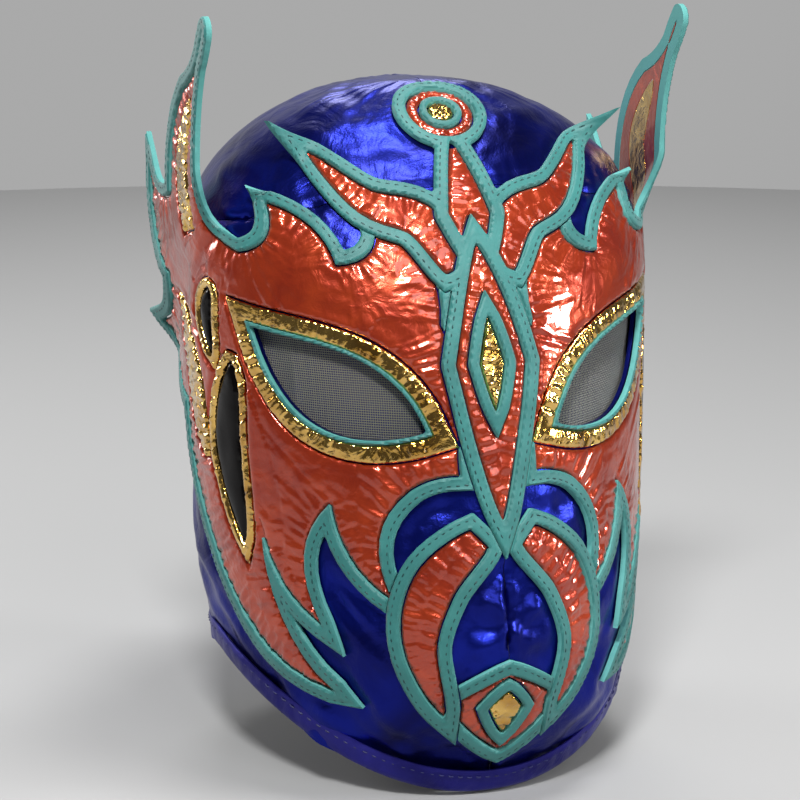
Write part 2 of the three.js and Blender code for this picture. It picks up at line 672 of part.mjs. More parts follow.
// The pattern: flat solids for one side of the face and for its middle, each cut clear of its neighbours.
function eyePattern() {
  const eye = eyeOutline();
  const leaves = Object.values(BLACK_LEAVES).map(ribbon);
  const leafAreas = (reach) => leaves.map((leaf) => area(leaf, reach));
  const surround = (reach) => joined([area(eye, EYE_SURROUND + reach), ...leafAreas(GOLD_RIM + reach)]);
  const inside = -LEATHER - 2 * CLEARANCE;
  return {
    hole: plate(eye, -4 * LEATHER, 4 * LEATHER),
    mesh: between(inside - MESH, inside).intersect(area(eye, MESH_MARGIN)),
    binding: piece(PADDED, area(eye, EYE_BINDING), area(eye)),
    gold: piece(GOLD, surround(0), area(eye, EYE_BINDING + CLEARANCE), ...leafAreas(CLEARANCE)),
    goldZone: surround(CLEARANCE),
    black: leaves.map((leaf) => piece(PATENT, area(leaf))),
  };
}

function crestPattern() {
  const bridge = spindle(BRIDGE);
  const tall = spindle(TALL_FLAME);
  const gold = spindle(BRIDGE_GOLD);
  const flames = [ribbon(CREST_FLAME), mirrored(ribbon(CREST_FLAME))];
  const edge = (reach) => {
    const borders = [bridge, tall, ...flames].map((outline) => area(outline, BORDER + reach));
    return joined([...borders, area(disc(DISC.v, DISC.frame + reach))]);
  };
  const windows = [
    area(bridge, CLEARANCE),
    area(disc(DISC.v, DISC.foil + CLEARANCE)),
    ...[tall, ...flames].map((outline) => area(outline, CLEARANCE).subtract(area(bridge, BORDER))),
  ];
  return {
    zone: edge(CLEARANCE),
    frame: piece(PADDED, edge(0), ...windows),
    bridgeFoil: piece(FOIL, area(bridge), area(gold, GOLD_RIM + CLEARANCE)),
    bridgeRim: piece(PADDED, area(gold, GOLD_RIM), area(gold, CLEARANCE)),
    bridgeGold: piece(GOLD, area(gold)),
    tallFoil: piece(FOIL, area(tall), area(bridge, BORDER + CLEARANCE), area(disc(DISC.v, DISC.frame))),
    sideFoil: piece(FOIL, area(flames[0]), area(bridge, BORDER + CLEARANCE), area(tall, BORDER)),
    discFoil: piece(FOIL, area(disc(DISC.v, DISC.foil)), area(disc(DISC.v, DISC.ring + CLEARANCE))),
    discRim: piece(PADDED, area(disc(DISC.v, DISC.ring)), area(disc(DISC.v, DISC.gold + CLEARANCE))),
    discGold: piece(GOLD, area(disc(DISC.v, DISC.gold))),
  };
}

function fangPattern(crestZone) {
  const fang = ribbon(FANG);
  return {
    zone: area(fang, BORDER + CLEARANCE),
    foil: piece(FOIL, area(fang), crestZone),
    frame: piece(PADDED, area(fang, BORDER), area(fang, CLEARANCE), crestZone),
  };
}

function chinPattern(fangZones) {
  const chin = spindle(CHIN);
  const gold = spindle(CHIN_GOLD);
  return {
    frame: piece(PADDED, area(chin, BORDER), area(chin, CLEARANCE), ...fangZones),
    foil: piece(FOIL, area(chin), area(gold, GOLD_RIM + CLEARANCE), ...fangZones),
    rim: piece(PADDED, area(gold, GOLD_RIM), area(gold, CLEARANCE)),
    gold: piece(GOLD, area(gold)),
  };
}

function sidePattern(eye, zones) {
  const field = stretches(SIDE_FIELD);
  const golds = Object.values(GOLD_FLAMES).map(ribbon);
  return {
    foil: piece(FOIL, area(field), eye.goldZone, ...golds.map((gold) => area(gold, CLEARANCE)), ...zones),
    frame: piece(PADDED, area(field, BORDER), area(field, CLEARANCE), eye.goldZone, ...zones),
    golds: golds.map((gold) => piece(GOLD, area(gold).intersect(area(field)))),
  };
}

// The object.
const mask = new THREE.Group();

function addPiece(name, geometry, colour) {
  const mesh = new THREE.Mesh(geometry, new THREE.MeshStandardMaterial(COLOURS[colour]));
  mesh.name = name;
  mask.add(mesh);
}

// The same piece for the wearer's other side.
function flipped(geometry) {
  const other = geometry.clone();
  const position = other.attributes.position;
  for (let i = 0; i < position.count; i++) position.setX(i, -position.getX(i));
  const index = other.index.array;
  for (let i = 0; i < index.length; i += 3) [index[i + 1], index[i + 2]] = [index[i + 2], index[i + 1]];
  return other;
}

function addPair(name, flatSolid, colour) {
  const geometry = laidOnHood(flatSolid);
  addPiece(`${name}_left`, geometry, colour);
  addPiece(`${name}_right`, flipped(geometry), colour);
}

const eye = eyePattern();
const crest = crestPattern();
const fang = fangPattern(crest.zone);
const bothFangs = [fang.zone, area(mirrored(ribbon(FANG)), BORDER + CLEARANCE)];
const chin = chinPattern(bothFangs);
const side = sidePattern(eye, [crest.zone, fang.zone]);

const plug = laidOnHood(eye.hole);
const panels = hoodPanels([toSolid(plug), toSolid(flipped(plug))]);
panels.forEach(({ name, geometry }) => addPiece(name, geometry, "blue"));
addPiece("hem_binding", hemBinding(), "blue");
addPiece("back_tongue", tongue(), "blue");
addPiece("back_lace", lace(), "lace");
eyeletPlaces().forEach(({ u, below }, i) => {
  const name = `eyelet_${Math.floor(i / 2) + 1}_${u > 0 ? "left" : "right"}`;
  addPiece(name, setOnBack(eyelet(), u, below, CLEARANCE), "gold");
});

addPair("eye_mesh", eye.mesh, "mesh");
addPair("eye_binding", eye.binding, "teal");
addPair("eye_surround", eye.gold, "gold");
addPair("long_black_leaf", eye.black[0], "black");
addPair("short_black_leaf", eye.black[1], "black");

addPair("side_frame", side.frame, "teal");
addPair("side_foil", side.foil, "foil");
addPair("upper_gold_flame", side.golds[0], "gold");
addPair("lower_gold_flame", side.golds[1], "gold");

addPiece("crest_frame", laidOnHood(crest.frame), "teal");
addPiece("bridge_foil", laidOnHood(crest.bridgeFoil), "foil");
addPiece("bridge_rim", laidOnHood(crest.bridgeRim), "teal");
addPiece("bridge_gold", laidOnHood(crest.bridgeGold), "gold");
addPiece("tall_flame_foil", laidOnHood(crest.tallFoil), "foil");
addPair("crest_flame_foil", crest.sideFoil, "foil");
addPiece("disc_foil", laidOnHood(crest.discFoil), "foil");
addPiece("disc_rim", laidOnHood(crest.discRim), "teal");
addPiece("disc_gold", laidOnHood(crest.discGold), "gold");

addPair("fang_frame", fang.frame, "teal");
addPair("fang_foil", fang.foil, "foil");

addPiece("chin_frame", laidOnHood(chin.frame), "teal");
addPiece("chin_foil", laidOnHood(chin.foil), "foil");
addPiece("chin_rim", laidOnHood(chin.rim), "teal");
addPiece("chin_gold", laidOnHood(chin.gold), "gold");

export default mask;
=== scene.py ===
# A laced wrestling mask: a metallic blue leather hood with mesh eyes, and padded teal frames with foil, gold
# and black patent inlays stitched on it. The outlines are curves in a flat pattern that is laid on the hood.

import math

import bpy
import numpy as np
from mathutils import Euler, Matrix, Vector


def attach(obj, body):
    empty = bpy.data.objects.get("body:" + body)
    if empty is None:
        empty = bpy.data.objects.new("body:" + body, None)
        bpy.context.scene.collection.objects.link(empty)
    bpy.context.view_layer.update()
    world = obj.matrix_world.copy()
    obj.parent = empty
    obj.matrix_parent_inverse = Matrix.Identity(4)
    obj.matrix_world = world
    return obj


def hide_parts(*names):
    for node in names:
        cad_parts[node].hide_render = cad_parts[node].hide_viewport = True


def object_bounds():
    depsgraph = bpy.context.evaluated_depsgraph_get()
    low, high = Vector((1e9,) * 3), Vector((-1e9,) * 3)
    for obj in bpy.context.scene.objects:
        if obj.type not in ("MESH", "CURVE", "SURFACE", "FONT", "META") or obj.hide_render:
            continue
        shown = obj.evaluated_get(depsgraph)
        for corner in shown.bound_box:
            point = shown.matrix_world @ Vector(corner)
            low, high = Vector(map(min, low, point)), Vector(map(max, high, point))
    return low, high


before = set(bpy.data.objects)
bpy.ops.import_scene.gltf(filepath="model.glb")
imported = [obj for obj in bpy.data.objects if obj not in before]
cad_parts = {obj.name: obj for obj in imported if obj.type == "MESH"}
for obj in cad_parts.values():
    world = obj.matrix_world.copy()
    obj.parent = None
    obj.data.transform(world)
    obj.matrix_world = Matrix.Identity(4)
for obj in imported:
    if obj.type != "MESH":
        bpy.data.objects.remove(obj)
frame_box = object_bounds()

MM = 0.001

# The hood's driving sizes, in millimetres as in the part's source.
LEATHER = 1.5
HALF_WIDTH = 84
FRONT_REACH = 80
BACK_REACH = 104
HOOD_DEPTH = 246
EYE_LINE = 99
SIDE_HEM = 208
FRONT_HEM = 246
BACK_HEM = 214
FOREHEAD_SEAM_FRONT = 33
FOREHEAD_SEAM_BACK = 47
EAR_SEAM_Y = 52

# How the crown rounds over: the depth at which each reach is full, and the roundness of the way there.
CROWN = {"side": (60, 2.0), "front": (106, 1.55), "back": (66, 2.2)}

# Rows from the crown down: the height as a share of the depth, the reaches as shares of the driving sizes,
# and how much the face narrows to the nose.
SECTION_COLUMNS = ("below", "width", "front", "back", "taper")
HOOD_SECTIONS = np.array(
    [
        (0.0, 1.0, 1.0, 1.0, 0.0),
        (0.26, 1.0, 1.0, 1.0, 0.03),
        (0.4, 1.0, 1.0, 1.0, 0.15),
        (0.52, 0.995, 1.06, 0.98, 0.2),
        (0.64, 0.975, 1.15, 0.89, 0.2),
        (0.76, 0.94, 1.21, 0.79, 0.16),
        (0.82, 0.915, 1.19, 0.75, 0.12),
        (0.9, 0.88, 1.1, 0.71, 0.06),
        (1.0, 0.84, 0.96, 0.68, 0.02),
    ]
)

# The stack on the hood: the clearance under each piece and its thickness.
CLEARANCE = 0.5
FOIL = 1.0
GOLD = 1.2
PATENT = 0.8
PADDED = 2.6
MESH = 0.8

# Widths of the borders round the inlays, the eyes and the gold.
BORDER = 5.2
BINDING_SHOWN = 1.4
EYE_SURROUND = 8
GOLD_RIM = 4

# Corners of a widened outline: the longest mitre, and the turn, in radians, above which a corner is sharp.
MITRE_LIMIT = 2.6
SHARP_TURN = 0.6

# The pattern is drawn for the wearer's left side, and mirrored for the right one. Its u runs out from the
# middle of the face and its v up from the eye line.
BOTH = ("_left", "_right")
SIGNS = {"": 1, "_left": 1, "_right": -1}
EYE_INNER, EYE_OUTER = (24, -15), (86, 19)
EYE_TOP = ((62, 15), (35, 15))
EYE_BOTTOM = ((46, -22), (78, -22))

# The temple points leave the hood along a slanted line and stand in a plane beside the head.
TEMPLE = {"stand": 3, "side_u": 122, "rise_from": 26, "leave_v": 48, "leave_u": 96}
TEMPLE |= {"slant": 0.8, "run": 30, "inner": 40}

# The edge of the foil beside the eye. Each row ends a curved stretch, and then says how far the stretch bows
# to its right.
SIDE_FIELD = (
    ((11, -8), 0.06),
    ((17, 22), -0.05),
    ((34, 62), -0.16),
    ((50, 43), 0.26),
    ((71, 66), -0.16),
    ((86, 46), 0.24),
    ((106, 82), 0.2),
    ((88, 122), 0.08),
    ((116, 100), 0.1),
    ((138, 60), -0.14),
    ((166, 66), 0.2),
    ((146, 30), -0.16),
    ((168, 8), 0.14),
    ((136, -16), -0.16),
    ((122, -64), -0.05),
    ((62, -110), -0.14),
    ((91, -52), 0.16),
    ((68, -86), -0.14),
    ((60, -41), 0.2),
    ((40, -74), -0.14),
    ((31, -35), 0.2),
    ((14, -30), 0.08),
)

# Flames: a path from root to tip, then half widths at the root, half way and the tip.
FANG = (((9, -52), (25, -68), (31, -90), (21, -116)), 4, 5, 0)
CREST_FLAME = (((8, 42), (18, 60), (36, 68), (52, 88)), 5, 4, 0)
UPPER_GOLD = (((116, 50), (122, 74), (108, 98)), 5, 4, 0)
LOWER_GOLD = (((118, -34), (127, -2), (140, 24)), 1, 7, 0)
LONG_LEAF = (((98, 4), (104, -26), (101, -62)), 0.4, 6.5, 0)
SHORT_LEAF = (((106, 30), (111, 20), (109, 6)), 0.3, 3.8, 0)

# Spindles on the middle line: low end, high end, height of the waist and half width.
BRIDGE = (-46, 50, 8, 12.5)
BRIDGE_GOLD = (-8, 24, 8, 4.4)
TALL_FLAME = (44, 92, 62, 7.5)
CHIN = (-132, -100, -112, 20)
CHIN_GOLD = (-124, -106, -113, 6)
DISC = {"v": 106, "frame": 17, "foil": 12, "ring": 7.6, "gold": 4.6}

# The laced back.
SLIT_HALF = 5
SLIT_TOP = 80
EYELET = {"rows": 6, "first": 92, "pitch": 21, "u": 12, "hole": 2.9, "rim": 4.6, "height": 0.9}
LACE_RADIUS = 1.3
TONGUE = {"half": 21, "top": 66, "thickness": 1.3}
HEM_WIDTH = 9
HEM_THICKNESS = 1.2

# How finely outlines are divided.
STRETCH_STEPS = 8
RIBBON_STEPS = 20
SPINDLE_STEPS = 16
DISC_SIDES = 64
EYE_STEPS = 24

# Pitch of the grids that the inlays are cut from, finer for gold, and the fewest grid points of a body.
STEP = 0.7
FINE_STEP = 0.5
LEAST_BODY = 70

# Where the pattern's pieces lie, and the pitch at which they are looked for.
FIELD_U = (-84, 190)
FIELD_V = (-150, 156)
LOOK_STEP = 3.0

# The sewn groove along a padded edge, and the stitches in it.
GROOVE_INSET = 1.6
STITCH = {"inset": 1.8, "pitch": 3.0, "length": 1.8, "radius": 0.3, "sides": 5, "sink": 0.35}
STITCH_SHARES = np.array([-1, -0.6, 0, 0.6, 1])
HEM_STITCH = {"count": 130, "half_turn": 0.011, "inset": 2.2}

# The woven eye mesh, and the part of the pattern that it lies in.
WEAVE = {"pitch": 0.85, "wire": 0.14, "sides": 4, "margin": 5, "u": (0, 110), "v": (-40, 40)}

# Grids of the leather pieces: rows down, columns round, and the first share and the power that crowd the
# rows towards the crown.
SEAM_HALF = 0.15
PANEL_STEP = 1.3
GRIDS = {
    "crown_panel": (72, 180, 0.004, 2),
    "face_panel": (132, 124, 0, 1),
    "nape_panel": (112, 72, 0, 1),
    "hem_binding": (10, 360, 0, 1),
    "back_tongue": (110, 34, 0, 1),
}

# Waves of the leather: the height, the length across and along, and the seed of each. Lengths are in
# millimetres, or in radians where a wave runs round the head.
WAVES = {
    "seam_pucker": (0.65, 3.2, 8, 11),
    "wide_pucker": (0.455, 7, 14, 12),
    "forehead_fan": (2.4, 1 / 4.5, 60, 21),
    "chin_gather": (1.7, 18, 6.5, 31),
    "chin_crease": (1.36, 20, 11, 32),
    "cheek_fold": (2.6, 50, 14, 41),
    "cheek_ripple": (1.0, 26, 6, 42),
    "neck_fold": (0.9, 13, 60, 51),
    "slack": (1.0, 34, 30, 61),
    "fine_slack": (0.6, 12, 9, 62),
    "crown_pinch": (0.5, 1 / 7, 40, 71),
    "hem_pucker": (0.3, 3.6, 1 / 1.5, 81),
    "hem_wave": (0.35, 15, 1, 82),
    "tongue_wave": (0.5, 16, 24, 91),
    "tongue_ripple": (0.25, 6, 7, 92),
}
WELT = {"height": 0.7, "away": 2.6, "spread": 1.5}
RELIEF_LIMITS = (-2.2, 3.0)
FAR_FROM_SEAM = 50

# The lacing: points along each run, how far two runs stand apart where they cross, and the knot.
RING = {"lip_steps": 9, "sides": 28, "through": 0.3}
RUN = {"points": 40, "sides": 10, "crossing_lift": 0.7, "bend": 1.6, "thickness": 0.9}
KNOT = {"points": 60, "size": 0.75, "lift": 0.6}

# The room, in metres: a round floor, and each light's place, size and power.
FLOOR = {"gap": 0.001, "reach": 1.5, "sides": 96}
LIGHTS = {
    "key": ((-0.35, -0.8, 0.85), 0.22, 17),
    "fill": ((0.95, -0.6, 0.15), 0.22, 6),
    "top": ((0.15, -0.1, 0.95), 0.3, 8),
    "rim": ((-0.8, 0.7, 0.2), 0.5, 6),
    "front": ((0.25, -1.3, 0.75), 0.9, 7),
}
BACK_LIGHT = {"place": (0.3, 1.0, 0.9), "aim": (0.1, 1.1), "size": 0.6, "power": 8}
CAMERA = {"azimuth": -19, "elevation": 12.4, "distance": 1.03, "lens": 124.5, "aim": (-0.0066, 0, -0.118)}


# Numbers and noise.
def smooth(x):
    x = np.clip(x, 0, 1)
    return x * x * (3 - 2 * x)


def noise(x, y, seed=0):
    """Gradient noise in the plane, about -1 to 1, the same on each run."""
    turns = np.random.RandomState(seed).permutation(256)
    xi, yi = np.floor(x).astype(int), np.floor(y).astype(int)
    xf, yf = x - xi, y - yi
    fade_x, fade_y = smooth(xf), smooth(yf)

    def corner(dx, dy):
        angle = turns[(turns[(xi + dx) & 255] + yi + dy) & 255] * (2 * np.pi / 256)
        return np.cos(angle) * (xf - dx) + np.sin(angle) * (yf - dy)

    low = corner(0, 0) + fade_x * (corner(1, 0) - corner(0, 0))
    high = corner(0, 1) + fade_x * (corner(1, 1) - corner(0, 1))
    return 1.6 * (low + fade_y * (high - low))


def creases(x, y, seed=0):
    """Sharp folds between flat facets, 0 between them and 1 on a fold."""
    bent = x + 0.6 * noise(0.7 * x, 0.7 * y, seed + 7)
    return 1 - np.abs(noise(bent, y, seed)) ** 0.6


# The hood's form.
def section_value(column, below):
    shares, values = HOOD_SECTIONS[:, 0], HOOD_SECTIONS[:, SECTION_COLUMNS.index(column)]
    slopes = np.empty(len(shares))
    slopes[1:-1] = (values[2:] - values[:-2]) / (shares[2:] - shares[:-2])
    slopes[0] = (values[1] - values[0]) / (shares[1] - shares[0])
    slopes[-1] = (values[-1] - values[-2]) / (shares[-1] - shares[-2])
    share = np.clip(below / HOOD_DEPTH, 0, 1)
    i = np.clip(np.searchsorted(shares, share), 1, len(shares) - 1)
    span = shares[i] - shares[i - 1]
    t = (share - shares[i - 1]) / span
    leaving, arriving, rise = slopes[i - 1] * span, slopes[i] * span, values[i] - values[i - 1]
    return (
        values[i - 1]
        + leaving * t
        + (3 * rise - 2 * leaving - arriving) * t**2
        + (leaving + arriving - 2 * rise) * t**3
    )


def crown_share(below, part):
    depth, power = CROWN[part]
    rest = np.clip(1 - np.maximum(below, 0) / depth, 0, 1)
    return (1 - rest**power) ** (1 / power)


def hood_point(angle, below):
    """Points of the hood at angles round it, 0 in front, and depths below the crown."""
    across, along = np.sin(angle), np.cos(angle)
    width = HALF_WIDTH * section_value("width", below) * crown_share(below, "side")
    front = FRONT_REACH * section_value("front", below) * crown_share(below, "front")
    back = BACK_REACH * section_value("back", below) * crown_share(below, "back")
    narrowed = np.where(along > 0, 1 - section_value("taper", below) * along**2, 1)
    reach = np.where(along > 0, front, back)
    return np.stack([width * across * narrowed, -along * reach, LEATHER - below + 0 * across], -1)


def unit(vectors):
    return vectors / np.maximum(np.linalg.norm(vectors, axis=-1, keepdims=True), 1e-9)


def hood_offset(angle, below, out):
    round_way = hood_point(angle + 0.02, below) - hood_point(angle - 0.02, below)
    down = hood_point(angle, below + 1) - hood_point(angle, np.maximum(0, below - 1))
    normal = unit(np.cross(down, round_way))
    return hood_point(angle, below) + normal * np.asarray(out)[..., None]


def hem_below(angle):
    facing = np.cos(angle)
    front = (FRONT_HEM - SIDE_HEM) * np.maximum(0, facing) ** 1.3
    return SIDE_HEM + front + (BACK_HEM - SIDE_HEM) * np.maximum(0, -facing) ** 2


def seam_below(angle):
    facing = np.maximum(0, np.cos(angle))
    return FOREHEAD_SEAM_BACK - (FOREHEAD_SEAM_BACK - FOREHEAD_SEAM_FRONT) * facing**2


def lengths(points):
    steps = np.linalg.norm(np.diff(points, axis=-2), axis=-1)
    return np.concatenate([np.zeros(steps.shape[:-1] + (1,)), np.cumsum(steps, -1)], -1)


# Lookups between places on the hood and the pattern's lengths.
BELOWS = np.arange(1.0, 262.0, 1.0)
ANGLES = np.linspace(0, np.pi, 361)
U_STEP = 0.5
ROUND = lengths(hood_point(ANGLES[None, :], BELOWS[:, None]))
US = np.arange(0, 330, U_STEP)
ANGLE_AT = np.array([np.interp(US, row, ANGLES) for row in ROUND])
UPWARD = np.linspace(EYE_LINE, 0.5, 300)
DOWNWARD = np.linspace(EYE_LINE, 262, 300)
UP_LENGTH = lengths(hood_point(0 * UPWARD, UPWARD))
DOWN_LENGTH = lengths(hood_point(0 * DOWNWARD, DOWNWARD))


def grid_lookup(grid, row, column):
    row = np.clip(row, 0, grid.shape[0] - 1.001)
    column = np.clip(column, 0, grid.shape[1] - 1.001)
    i, j = row.astype(int), column.astype(int)
    r, c = row - i, column - j
    upper = grid[i, j] * (1 - c) + grid[i, j + 1] * c
    lower = grid[i + 1, j] * (1 - c) + grid[i + 1, j + 1] * c
    return upper * (1 - r) + lower * r


def angle_at(u, below):
    return np.sign(u) * grid_lookup(ANGLE_AT, below - BELOWS[0], np.abs(u) / U_STEP)


def u_of(angle, below):
    return np.sign(angle) * grid_lookup(ROUND, below - BELOWS[0], np.abs(angle) / ANGLES[1])


def below_at(v):
    up = np.interp(v, UP_LENGTH, UPWARD)
    return np.maximum(1, np.where(v >= 0, up, np.interp(-v, DOWN_LENGTH, DOWNWARD)))


def v_of(below):
    up = np.interp(-below, -UPWARD, UP_LENGTH)
    return np.where(below <= EYE_LINE, up, -np.interp(below, DOWNWARD, DOWN_LENGTH))


def carrier_point(u, v):
    """Where a pattern point lies: on the hood, or in the standing plane of the temple points."""
    below = below_at(v)
    on_hood = hood_point(angle_at(u, below), below)
    beyond = v - TEMPLE["leave_v"] + TEMPLE["slant"] * (np.abs(u) - TEMPLE["leave_u"])
    away = smooth(beyond / TEMPLE["run"]) * smooth(np.abs(u) / TEMPLE["inner"] - 1)
    foot = TEMPLE["rise_from"]
    height = LEATHER - below_at(np.minimum(v, foot)) + np.maximum(0, v - foot)
    aside = np.sign(u) * (HALF_WIDTH + TEMPLE["stand"])
    standing = np.stack([aside, np.abs(u) - TEMPLE["side_u"], height], -1)
    return on_hood + away[..., None] * (standing - on_hood)


def carrier_offset(u, v, out):
    step = 0.6
    across = carrier_point(u + step, v) - carrier_point(u - step, v)
    up = carrier_point(u, v + step) - carrier_point(u, v - step)
    normal = unit(np.cross(across, up))
    return carrier_point(u, v) + normal * np.asarray(out)[..., None]


# Outlines of the pattern, as arrays of (u, v) that turn to the left.
def left_turning(outline):
    outline = np.asarray(outline, float)
    u, v = outline.T
    area = np.sum(u * np.roll(v, -1) - v * np.roll(u, -1))
    return outline if area > 0 else outline[::-1]


def stretches(rows):
    points = []
    for i, (at, bulge) in enumerate(rows):
        start, end = np.array(rows[i - 1][0], float), np.array(at, float)
        along = end - start
        control = (start + end) / 2 + 2 * bulge * np.array([along[1], -along[0]])
        t = np.linspace(0, 1, STRETCH_STEPS + 1)[1:, None]
        points.extend((1 - t) ** 2 * start + 2 * t * (1 - t) * control + t**2 * end)
    return left_turning(points)


def spline(path, count):
    """A smooth curve through a path's points, with the path's own ends."""
    points = np.asarray(path, float)
    padded = np.concatenate([points[:1], points, points[-1:]])
    t = np.linspace(0, len(points) - 1, count)
    i = np.minimum(t.astype(int), len(points) - 2)
    f = (t - i)[:, None]
    a, b, c, d = (padded[i + k] for k in range(4))
    return 0.5 * (2 * b + (c - a) * f + (2 * a - 5 * b + 4 * c - d) * f**2 + (3 * b - a - 3 * c + d) * f**3)


def ribbon(row):
    path, root, swell, tip = row
    middle = spline(path, RIBBON_STEPS + 1)
    along = unit(np.gradient(middle, axis=0))
    t = np.linspace(0, 1, RIBBON_STEPS + 1)
    half = root + (tip - root) * t + 4 * swell * t * (1 - t)
    across = np.stack([-along[:, 1], along[:, 0]], -1) * half[:, None]
    left, right = middle + across, middle - across
    return left_turning(np.concatenate([right, left[::-1][1:] if tip == 0 else left[::-1]]))


def spindle(row):
    low, high, waist, half = row
    t = np.linspace(0, 1, SPINDLE_STEPS + 1)[1:]
    half_width = half * t**0.85 * (1.12 - 0.12 * t)
    rising = np.stack([half_width, low + (waist - low) * t], -1)
    falling = np.stack([half_width, high + (waist - high) * t], -1)[::-1][1:]
    side = np.concatenate([rising, falling])
    return left_turning(np.concatenate([[[0, low]], side, [[0, high]], (side * [-1, 1])[::-1]]))


def disc(v, radius):
    angle = np.linspace(0, 2 * np.pi, DISC_SIDES, endpoint=False)
    return np.stack([radius * np.cos(angle), v + radius * np.sin(angle)], -1)


def bezier(a, b, c, d):
    t = np.linspace(0, 1, EYE_STEPS, endpoint=False)[:, None]
    a, b, c, d = (np.array(p, float) for p in (a, b, c, d))
    return (1 - t) ** 3 * a + 3 * t * (1 - t) ** 2 * b + 3 * t**2 * (1 - t) * c + t**3 * d


def eye_outline():
    top = bezier(EYE_OUTER, *EYE_TOP, EYE_INNER)
    return left_turning(np.concatenate([top, bezier(EYE_INNER, *EYE_BOTTOM, EYE_OUTER)]))


def mirrored(outline):
    return left_turning(outline * [-1, 1])


# Zones: functions that give the distance of pattern points from an edge, below 0 inside.
def sides_of(outline, u, v):
    """Each side of an outline: its ends, then the share along it and the squared distance of points."""
    for (u0, v0), (u1, v1) in zip(outline, np.roll(outline, -1, axis=0)):
        du, dv = u1 - u0, v1 - v0
        t = np.clip(((u - u0) * du + (v - v0) * dv) / (du * du + dv * dv + 1e-12), 0, 1)
        yield (u0, v0, u1, v1), t, (u - u0 - t * du) ** 2 + (v - v0 - t * dv) ** 2


def inside_of(outline):
    def distance(u, v):
        near = np.full(u.shape, 1e9)
        odd = np.zeros(u.shape, bool)
        for (u0, v0, u1, v1), _, away in sides_of(outline, u, v):
            near = np.minimum(near, away)
            if v0 != v1:
                crosses = (v0 > v) != (v1 > v)
                odd ^= crosses & (u < u0 + (v - v0) * (u1 - u0) / (v1 - v0))
        return np.where(odd, -1, 1) * np.sqrt(near)

    return distance


def joined(*zones):
    return lambda u, v: np.minimum.reduce([zone(u, v) for zone in zones])


def cut(zone, *others):
    return lambda u, v: np.maximum.reduce([zone(u, v)] + [-other(u, v) for other in others])


def common(*zones):
    return lambda u, v: np.maximum.reduce([zone(u, v) for zone in zones])


def widened(outline, reach):
    """All within a reach of an outline, with its sharp corners drawn out to mitred points."""
    zone = inside_of(outline)
    along = unit(np.roll(outline, -1, axis=0) - outline)
    sides = np.stack([along[:, 1], -along[:, 0]], -1)
    tips = []
    for i, at in enumerate(outline):
        before, after = sides[i - 1], sides[i]
        turn = math.atan2(before[0] * after[1] - before[1] * after[0], float(before @ after))
        if turn > SHARP_TURN:
            mitre = min(MITRE_LIMIT, 2 / max(0.01, np.linalg.norm(before + after)))
            tip = at + unit(before + after) * reach * mitre
            tips.append(inside_of(left_turning([at, at + before * reach, tip, at + after * reach])))
    return joined(lambda u, v: zone(u, v) - reach, *tips)


# Meshes.
def closed_sheet(p, q, top, bottom, inside, place, flip=False):
    """A closed sheet over a grid of coordinates p and q: top and bottom are heights that place() turns into
    points. Returns points, faces and how many of the faces are its top."""
    ids = np.arange(p.size).reshape(p.shape)
    corners = [ids[:-1, :-1], ids[:-1, 1:], ids[1:, 1:], ids[1:, :-1]]
    flags = [inside.ravel()[c] for c in corners]
    count = sum(f.astype(int) for f in flags)
    quads = np.stack(corners, -1)[count == 4]
    faces = [tuple(quad) for quad in quads.tolist()]
    for missing in range(4):
        hit = (count == 3) & ~flags[missing]
        three = np.stack([corners[k] for k in range(4) if k != missing], -1)[hit]
        faces.extend(tuple(triangle) for triangle in three.tolist())
    edges = set()
    for face in faces:
        edges.update(zip(face, face[1:] + face[:1]))
    rim = [edge for edge in edges if edge[::-1] not in edges]
    rim.sort()
    used = sorted({corner for face in faces for corner in face})
    new = {old: i for i, old in enumerate(used)}
    n = len(used)
    flat_p, flat_q = p.ravel()[used], q.ravel()[used]
    points = np.concatenate(
        [
            place(flat_p, flat_q, np.broadcast_to(top, p.shape).ravel()[used]),
            place(flat_p, flat_q, np.broadcast_to(bottom, p.shape).ravel()[used]),
        ]
    )
    top_faces = [tuple(new[c] for c in face) for face in faces]
    bottom_faces = [tuple(n + c for c in face[::-1]) for face in top_faces]
    walls = [(n + new[a], n + new[b], new[b], new[a]) for a, b in rim]
    whole = top_faces + walls + bottom_faces
    if flip:
        whole = [face[::-1] for face in whole]
    return points, whole, len(top_faces)


def add_mesh(name, points, faces, materials, second_from=None, sharp=50):
    """A mesh object in metres. Faces from second_from on take the second material."""
    mesh = bpy.data.meshes.new(name)
    mesh.from_pydata((np.asarray(points) * MM).tolist(), [], faces)
    mesh.polygons.foreach_set("use_smooth", [True] * len(mesh.polygons))
    for material in materials:
        mesh.materials.append(material)
    if second_from is not None and len(materials) > 1:
        index = [int(i >= second_from) for i in range(len(mesh.polygons))]
        mesh.polygons.foreach_set("material_index", index)
    mesh.set_sharp_from_angle(angle=math.radians(sharp))
    mesh.update()
    piece = bpy.data.objects.new(name, mesh)
    bpy.context.scene.collection.objects.link(piece)
    return piece


def dressed(piece, slot_name, *nodes):
    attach(piece, "root")
    if nodes:
        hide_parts(*nodes)
    return piece


def main_bodies(inside):
    """A grid's inside points without the scraps that a cut leaves beside its main bodies."""
    label = np.where(inside, np.arange(1, inside.size + 1).reshape(inside.shape), 0)
    spread = label + 1
    while (spread != label).any():
        label = spread
        for axis in (0, 1):
            for step in (-1, 1):
                spread = np.maximum(spread, np.roll(spread, step, axis))
        spread = np.where(inside, spread, 0)
    values, counts = np.unique(label[inside], return_counts=True)
    return np.isin(label, values[counts >= min(LEAST_BODY, counts.max())])


